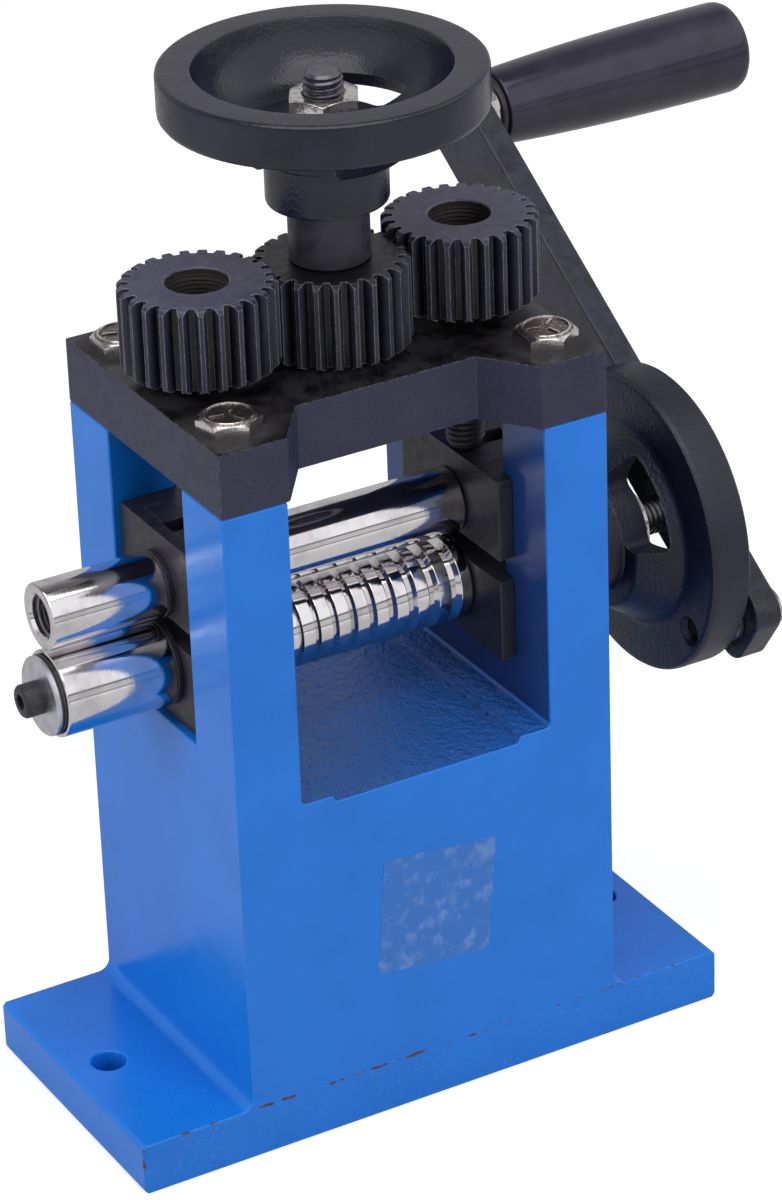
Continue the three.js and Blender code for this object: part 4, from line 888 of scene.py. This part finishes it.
# Wet oil on a black oxide thread, which catches bright lines of light
wet_oxide = mottled("oily_black", (2, 4), (0.006, 0.006, 0.010), (0.030, 0.029, 0.050), (1.2, 4),
                    (0.12, 0.34), (0.7, 4, 0.7, 0.05), IOR=2.0)
low, high = corners("spindle")
sleeve_top = corners("spacer_sleeve")[1][2]
clip_low, clip_high = low[2] + 2.1, low[2] + 3.35
profile = [(0, low[2]), (5.5, low[2]), (6.0, low[2] + 0.5), (6.0, clip_low), (5.4, clip_low)]
profile += [(5.4, clip_high), (6.0, clip_high), (6.0, sleeve_top), (4.42, sleeve_top)]
profile += [(4.42, high[2] - 0.7), (3.7, high[2]), (0, high[2])]
piece = turned("adjusting_spindle", profile, "z", (0, 0), 72)
join(piece, thread("ridge", "z", (0, 0), 5.0, 1.5, sleeve_top + 17, high[2] - 0.3))
finish_piece(piece, wet_oxide, "adjuster", ["spindle"])

plain_ring("sleeve", "spacer_sleeve", (0, 0), 6.05, black_oxide, "adjuster", 0.5, "z")
plain_ring("spindle_bush_ring", "spindle_bush", (0, 0), 6.08, bronze, "frame", 0.15, "z")
for node in ("spindle_washer", "thrust_washer"):
    plain_ring(node + "_ring", node, (0, 0), 6.05, zinc, "adjuster", 0.15, "z")


# Handwheel
# Cast iron, sprayed black: a hub, a cone with two rough windows, and a wide flat rim round a dished face.
# The crank wheel is the same casting.


def cast_black(name, gloss, grain):
    """Black paint over cast iron, with an orange peel that shows in the highlights."""
    paint = Finish(name)
    tone = paint.mix(paint.patches(9, 4), (0.006, 0.006, 0.015), (0.012, 0.012, 0.027))
    rub = paint.times(paint.edges(0.7), paint.patches(1.2, 4, 0.40, 0.62, (0.0, 0.6), 0.7))
    paint.use(Base_Color=paint.mix(rub, tone, (0.11, 0.11, 0.14)))
    paint.use(Roughness=paint.patches(3, 4, to=(gloss, gloss + 0.12)))
    lump = paint.bump(paint.noise(9, 2, rough=0.5), 0.12)
    paint.use(Normal=paint.bump(paint.noise(0.9, 3), grain, lump))
    return paint.material


window_sweep = 66
hub_bore, dish_floor, rim_back = 5.05, 19.4, 23.15


def wheel_profile():
    """Half section of the wheel casting, from the hub face: (radius, height)."""
    outside = [(hub_bore, 0), (14.3, 0), (14.9, 0.25), (15.15, 0.9), (15.15, 11.6), (15.5, 12.2)]
    outside += [(16.2, 12.4), (19.3, 12.4), (19.9, 12.6), (20.4, 13.2), (23.8, 18.0), (26.9, 22.3)]
    outside += [(27.6, 22.95), (28.6, rim_back)]
    rim = [(38.4, rim_back), (39.5, 23.45), (40.05, 24.2), (40.15, 25.2), (40.15, 33.4), (40.0, 34.1)]
    rim += [(39.6, 34.5), (39.0, 34.65), (32.0, 34.65), (31.65, 34.55)]
    dish = curve((31.4, 34.25), (27.9, 21.4), (17.6, dish_floor), 12)
    return outside + rim + dish + [(hub_bore, dish_floor)]


def window_outline(centre, start, outer):
    """Kidney window with round corners, between two radii of the cone."""
    inner, soft = 15.6, 2.0
    end = start + window_sweep
    lift, drop = math.degrees(soft / inner), math.degrees(soft / outer)

    def corner(radius, angle, first):
        return arc(polar(centre, radius, angle), soft, angle + first, angle + first - 90, 4)

    points = arc(centre, inner, start + lift, end - lift, 14) + corner(inner + soft, end - lift, 180)[1:]
    points += corner(outer - soft, end - drop, 90) + arc(centre, outer, end - drop, start + drop, 16)[1:-1]
    return points + corner(outer - soft, start + drop, 0) + corner(inner + soft, start + lift, -90)[:-1]


def wheel(name, axis, centre, base, window_start):
    """The wheel casting with its hub face at base, and its windows cut through."""
    casting = turned(name, [(r, base + h) for r, h in wheel_profile()], axis, centre, 144)
    reaches = {"z": (26.4, 24.0), "x": (25.4, 25.2)}[axis]
    for start in (window_start, window_start + 180):
        hub_side, dish_side = [window_outline(centre, start, reach) for reach in reaches]
        combine(casting, plate("window_cut", hub_side, axis, base + 4, base + 28, dish_side))
    return casting


nut_flats = 16.3


def hex_nut(name, axis, centre, low, high, start=0, hole=stud_radius):
    """Hex nut, chamfered, with its threaded hole leading in."""
    nut = hexagon(name, axis, centre, nut_flats, low, high, start)
    lead = 0.5
    wide = hole + lead
    cut = [(0, low - 1), (wide, low - 1), (wide, low), (hole, low + lead), (hole, high - lead)]
    cut += [(wide, high), (wide, high + 1), (0, high + 1)]
    return combine(nut, turned("nut_cut", cut, axis, centre, 72))


low, high = corners("handwheel")
piece = wheel("hand_wheel", "z", (0, 0), low[2], 5)
rounded(piece, 0.5, 2, 45)
finish_piece(piece, cast_black("cast_black", 0.12, 0.10), "adjuster", ["handwheel"])

low, high = corners("handwheel_nut")
piece = hex_nut("top_nut", "z", (0, 0), low[2], high[2])
finish_piece(piece, bright_nickel, "adjuster", ["handwheel_nut"])


# Crank wheel
# The second wheel casting, hub towards the frame, keyed and nutted on the lower roll's shaft.
# A tapped hole through its rim takes the bolt of the arm. The shaft's threaded end shows in its windows.

crank_axis = lower_axis
grip_reach, bolt_reach, arm_turn = 130, 34.5, 34.5
grip_axis = polar(crank_axis, grip_reach, arm_turn)
bolt_axis = polar(crank_axis, bolt_reach, arm_turn + 180)

low, high = corners("crank_wheel")
piece = wheel("drive_wheel", "x", crank_axis, low[0], 108)
near, tap_radius = low[0] + rim_back, 3.1
cut = [(0, low[0]), (4.3, low[0]), (4.3, near + 0.3), (tap_radius, near + 1.6), (tap_radius, high[0] + 1)]
combine(piece, turned("rim_cut", cut + [(0, high[0] + 1)], "x", bolt_axis, 48))
rounded(piece, 0.5, 2, 45)
finish_piece(piece, cast_black("drive_black", 0.30, 0.22), "drive", ["crank_wheel"])

plain_ring("wheel_spacer_ring", "wheel_spacer", crank_axis, 5.0, oiled_steel, "drive")

profile = [(0, shaft_thread), (4.45, shaft_thread), (4.45, lower_right - 0.4), (4.0, lower_right)]
piece = turned("shaft_end", profile + [(0, lower_right)], "x", crank_axis, 72)
join(piece, thread("ridge", "x", crank_axis, stud_radius, 1.5, shaft_thread, lower_right - 0.2))
finish_piece(piece, wet_oxide, "drive")

low, high = corners("crank_wheel_nut")
piece = hex_nut("shaft_nut", "x", crank_axis, low[0], high[0], 20)
finish_piece(piece, bright_nickel, "drive", ["crank_wheel_nut"])


# Crank arm
# A flat blackened bar, square at its foot and round at its tip, held on the wheel by the shaft's outer
# nut and by the rim bolt. A spacer on that bolt holds its foot off the rim, so the whole bar leans a little.


def arm_black():
    """Blackened bar with a mottled, slightly pitted gloss and rubbed edges."""
    skin = Finish("arm_black")
    tone = skin.mix(skin.patches(5, 5, 0.35, 0.68, rough=0.7), (0.004, 0.004, 0.010), (0.024, 0.024, 0.044))
    rub = skin.times(skin.edges(0.6), skin.patches(1.3, 4, 0.40, 0.65, (0.0, 0.7), 0.7))
    skin.use(Base_Color=skin.mix(rub, tone, (0.15, 0.15, 0.17)))
    skin.use(Roughness=skin.patches(2.5, 4, to=(0.18, 0.40)))
    skin.use(Normal=skin.bump(skin.noise(1.4, 5, rough=0.7), 0.13))
    return skin.material


arm_half, arm_thick, arm_foot, arm_corner = 11.7, 7.6, 43, 6
arm_lean, level_reach = 0.0152, 97
arm_start = corners("crank_wheel")[1][0]
outline = []
for side, start in ((1, 90), (-1, 180)):
    foot = polar(crank_axis, arm_foot - arm_corner, arm_turn + 180)
    centre = polar(foot, side * (arm_half - arm_corner), arm_turn + 90)
    outline += arc(centre, arm_corner, arm_turn + start, arm_turn + start + 90, 10)
outline += arc(grip_axis, arm_half, arm_turn - 90, arm_turn + 90, 32)
piece = plate("arm_bar", outline, "x", arm_start, arm_start + arm_thick)
for centre, radius in ((bolt_axis, 3.2), (crank_axis, 5.15), (grip_axis, 5.05)):
    combine(piece, rod("arm_cut", "x", centre, radius, arm_start - 1, arm_start + 10))
rounded(piece, 0.7, 3, 40)
along = Vector((0, *polar((0, 0), 1, arm_turn)))
for vertex in piece.data.vertices:
    reach = vertex.co.dot(along) - Vector((0, 0, lower_z * MM)).dot(along)
    vertex.co.x += arm_lean * (level_reach * MM - reach)
finish_piece(piece, arm_black(), "drive", ["crank_arm"])

plain_ring("arm_washer_disc", "arm_washer", crank_axis, 5.15, zinc, "drive")
plain_ring("arm_spacer_disc", "arm_spacer", bolt_axis, 3.2, oiled_steel, "drive")

low, high = corners("arm_nut")
piece = hex_nut("outer_nut", "x", crank_axis, low[0], high[0], 10)
finish_piece(piece, bright_nickel, "drive", ["arm_nut"])

low, high = corners("arm_bolt")
head_height, head_flats = 4.5, 10
seat = high[0] - head_height
piece = hexagon("rim_bolt", "x", bolt_axis, head_flats, seat, high[0], 15, False)
profile = [(0, low[0]), (2.6, low[0]), (3.0, low[0] + 0.5), (3.0, seat + 0.3), (0, seat + 0.3)]
join(piece, turned("shank", profile, "x", bolt_axis, 48))
finish_piece(piece, bright_nickel, "drive", ["arm_bolt"])


# Handle
# A tapered black grip turning on a steel spindle, which is screwed in the arm and locked by a bright nut.


def grip_black():
    """Moulded glossy black plastic with faint flow and fine scratches."""
    plastic = Finish("grip_black")
    tone = plastic.patches(9, 3)
    plastic.use(Base_Color=plastic.mix(tone, (0.019, 0.017, 0.031), (0.030, 0.026, 0.046)))
    plastic.use(Roughness=plastic.patches(3, 4, 0.35, 0.75, (0.14, 0.24)))
    scratch = plastic.noise(0.5, 2, stretch=(0.05, 1, 1))
    plastic.use(Normal=plastic.bump(scratch, 0.006, plastic.bump(plastic.noise(14, 2), 0.10)))
    return plastic.material


nut_height, washer_thick, grip_gap, grip_length, pocket_depth = 4.8, 1.5, 0.27, 77.4, 6
handle_seat = arm_start + arm_thick + arm_lean * (level_reach - grip_reach)
washer_start = handle_seat + nut_height
washer_end = washer_start + washer_thick
grip_start = washer_end + grip_gap
grip_end = grip_start + grip_length
pocket_floor = grip_end - pocket_depth


def on_arm_tip(piece):
    """Turns a piece built along X so that it stands square on the leaning face of the arm."""
    hinge = Vector((0, *polar((0, 0), 1, arm_turn + 90)))
    place = Matrix.Translation(Vector((handle_seat, *grip_axis)) * MM)
    piece.data.transform(place @ Matrix.Rotation(math.atan(arm_lean), 4, hinge) @ place.inverted())
    return piece


profile = [(0, arm_start + 0.25), (4.6, arm_start + 0.25), (5.0, arm_start + 0.65), (5.0, washer_end)]
profile += [(4.5, washer_end), (4.5, pocket_floor), (0, pocket_floor)]
piece = on_arm_tip(turned("handle_pin", profile, "x", grip_axis, 64))
finish_piece(piece, oiled_steel, "drive", ["handle_spindle"])

piece = on_arm_tip(hex_nut("lock_nut", "x", grip_axis, handle_seat, washer_start, 25, 4.98))
finish_piece(piece, bright_nickel, "drive", ["handle_nut"])

profile = ring_profile(5.05, 9.4, washer_start, washer_end, 0.2)
piece = on_arm_tip(turned("handle_disc", profile, "x", grip_axis))
finish_piece(piece, black_oxide, "drive", ["handle_washer"])

pocket, bore = 7.0, 4.58
profile = [(bore, grip_start), (9.75, grip_start), (10.2, grip_start + 0.12)]
profile += curve((10.45, grip_start + 0.5), (12.8, grip_start + 31), (12.79, grip_end - 4.6), 14)
profile += [(12.77, grip_end - 3.4), (12.55, grip_end - 2.2), (12.0, grip_end - 1.1)]
profile += [(11.15, grip_end - 0.4)]
profile += [(10.05, grip_end - 0.05), (9.4, grip_end), (pocket + 0.3, grip_end), (pocket, grip_end - 0.3)]
profile += [(pocket, pocket_floor), (bore, pocket_floor)]
piece = on_arm_tip(turned("turning_grip", profile, "x", grip_axis, 128))
finish_piece(piece, grip_black(), "grip", ["handle_grip"])

seat = pocket_floor + 0.1
profile = [(0, seat - 11), (2.5, seat - 11), (2.5, seat), (6.2, seat), (6.4, seat + 0.2), (6.4, seat + 1.2)]
profile += [(5.6, seat + 2.2), (4.0, seat + 2.8), (0, seat + 3.0)]
piece = turned("end_screw", profile, "x", grip_axis, 72)
slot_low = (seat + 1.8, grip_axis[0] - 8, grip_axis[1] - 0.6)
combine(piece, block("slot_cut", slot_low, (seat + 5, grip_axis[0] + 8, grip_axis[1] + 0.6)))
finish_piece(on_arm_tip(piece), zinc, "drive", ["grip_screw"])


# Camera
# Set to the photograph's own viewpoint, which was found from the mill's straight edges and circles.

camera_place = (-0.5129, -0.9490, 0.6938)
camera_azimuth = -28.999
camera_elevation = 27.785
camera_roll = -2.109
camera_lens = 145.33
camera_shift = 0.00075

azimuth, elevation, tilt = (math.radians(v) for v in (camera_azimuth, camera_elevation, camera_roll))
level = math.cos(elevation)
back = Vector((math.sin(azimuth) * level, -math.cos(azimuth) * level, math.sin(elevation)))
right = (-back).cross(Vector((0, 0, 1))).normalized()
up = right.cross(-back)
level_right = right * math.cos(tilt) + up * math.sin(tilt)
level_up = -right * math.sin(tilt) + up * math.cos(tilt)
camera_data = bpy.data.cameras.new("camera")
camera_data.lens = camera_lens
camera_data.sensor_width = 36
camera_data.sensor_fit = "AUTO"
camera_data.shift_x = camera_shift
camera_data.clip_start = 0.05
camera = bpy.data.objects.new("camera", camera_data)
bpy.context.scene.collection.objects.link(camera)
turn = Matrix((level_right, level_up, back)).transposed().to_4x4()
camera.matrix_world = Matrix.Translation(Vector(camera_place)) @ turn
bpy.context.scene.camera = camera


# Studio
# A white floor, a large soft light above, softer ones at the front and sides, and a room that is white
# at the front and grey behind, with a dark ceiling. The camera and the metal see the room and the floor.


def area_light(name, place, aim, size, power):
    """Square soft light turned towards a point; only the top one is mirrored by the metal."""
    data = bpy.data.lights.new(name, "AREA")
    data.shape = "RECTANGLE"
    data.size, data.size_y = size
    data.energy = power
    lamp = bpy.data.objects.new(name, data)
    bpy.context.scene.collection.objects.link(lamp)
    lamp.visible_glossy = name == "top_light"
    lamp.location = place
    lamp.rotation_euler = (Vector(aim) - Vector(place)).to_track_quat("-Z", "Y").to_euler()
    return lamp


area_light("top_light", (-0.1, -0.2, 1.25), (0.02, 0.0, 0.1), (1.0, 1.0), 6.5)
area_light("left_light", (-1.1, 0.05, 0.55), (0, 0, 0.12), (0.6, 0.9), 7.2)
area_light("front_light", (0.35, -1.2, 0.55), (0, 0, 0.12), (0.7, 0.8), 8.2)
area_light("right_light", (1.1, 0.3, 0.7), (0, 0, 0.15), (0.5, 0.9), 3.5)

build = bmesh.new()
floor_half = 3000
for x, y in ((-1, -1), (1, -1), (1, 1), (-1, 1)):
    build.verts.new((x * floor_half, y * floor_half, -0.02))
build.verts.ensure_lookup_table()
build.faces.new(build.verts)
floor = new_piece("floor", build)


def background_rays(nodes, links):
    """1 for rays from the camera, from glossy surfaces and through clear ones, 0 for the other rays."""
    path = nodes.new("ShaderNodeLightPath")
    total = path.outputs["Is Camera Ray"]
    for name in ("Is Glossy Ray", "Is Transmission Ray"):
        either = nodes.new("ShaderNodeMath")
        either.operation = "MAXIMUM"
        links.new(total, either.inputs[0])
        links.new(path.outputs[name], either.inputs[1])
        total = either.outputs[0]
    return total


pale = Finish("pale_floor")
pale.use(Base_Color=pale.mix(pale.patches(400, 2), (0.49, 0.49, 0.50), (0.51, 0.51, 0.52)))
pale.use(Roughness=0.9, Specular_IOR_Level=0.1, Emission_Color=(1, 1, 1, 1))
to_camera = pale.nodes.new("ShaderNodeLightPath").outputs["Is Camera Ray"]
glow = pale.plus(pale.times(background_rays(pale.nodes, pale.links), 0.05), pale.times(to_camera, 0.62))
pale.use(Emission_Strength=glow)
floor.data.materials.append(pale.material)

world = bpy.data.worlds.new("studio")
bpy.context.scene.world = world
world.use_nodes = True
nodes, links = world.node_tree.nodes, world.node_tree.links
ambient = nodes["Background"]
ambient.inputs["Color"].default_value = (1, 1, 1, 1)
ambient.inputs["Strength"].default_value = 0.28


def ramp(value, stops):
    """Grey level along a value, from stops of (position, level)."""
    band = nodes.new("ShaderNodeValToRGB")
    for element in list(band.color_ramp.elements)[1:]:
        band.color_ramp.elements.remove(element)
    for i, (position, level) in enumerate(stops):
        element = band.color_ramp.elements[0] if i == 0 else band.color_ramp.elements.new(position)
        element.position = position
        element.color = (level, level, level * 1.03, 1)
    links.new(value, band.inputs["Fac"])
    return band.outputs["Color"]


direction = nodes.new("ShaderNodeSeparateXYZ")
links.new(nodes.new("ShaderNodeTexCoord").outputs["Generated"], direction.inputs[0])
front = ramp(direction.outputs["Z"], [(0.0, 0.60), (0.16, 0.60), (0.19, 0.12), (0.235, 0.12), (0.25, 1.0),
                                      (0.84, 1.0), (0.90, 0.10)])
behind = ramp(direction.outputs["Z"], [(0.0, 0.60), (0.10, 0.50), (0.55, 0.50), (0.75, 0.25), (0.90, 0.08)])
side = ramp(direction.outputs["Y"], [(0.0, 0.0), (0.35, 1.0)])
room = nodes.new("ShaderNodeMix")
room.data_type = "RGBA"
for socket, value in ((room.inputs["Factor"], side), (room.inputs[6], front), (room.inputs[7], behind)):
    links.new(value, socket)
surround = nodes.new("ShaderNodeBackground")
links.new(room.outputs[2], surround.inputs["Color"])
choose = nodes.new("ShaderNodeMixShader")
links.new(background_rays(nodes, links), choose.inputs["Fac"])
links.new(ambient.outputs[0], choose.inputs[1])
links.new(surround.outputs[0], choose.inputs[2])
links.new(choose.outputs[0], nodes["World Output"].inputs["Surface"])
bpy.context.scene.view_settings.view_transform = "Standard"
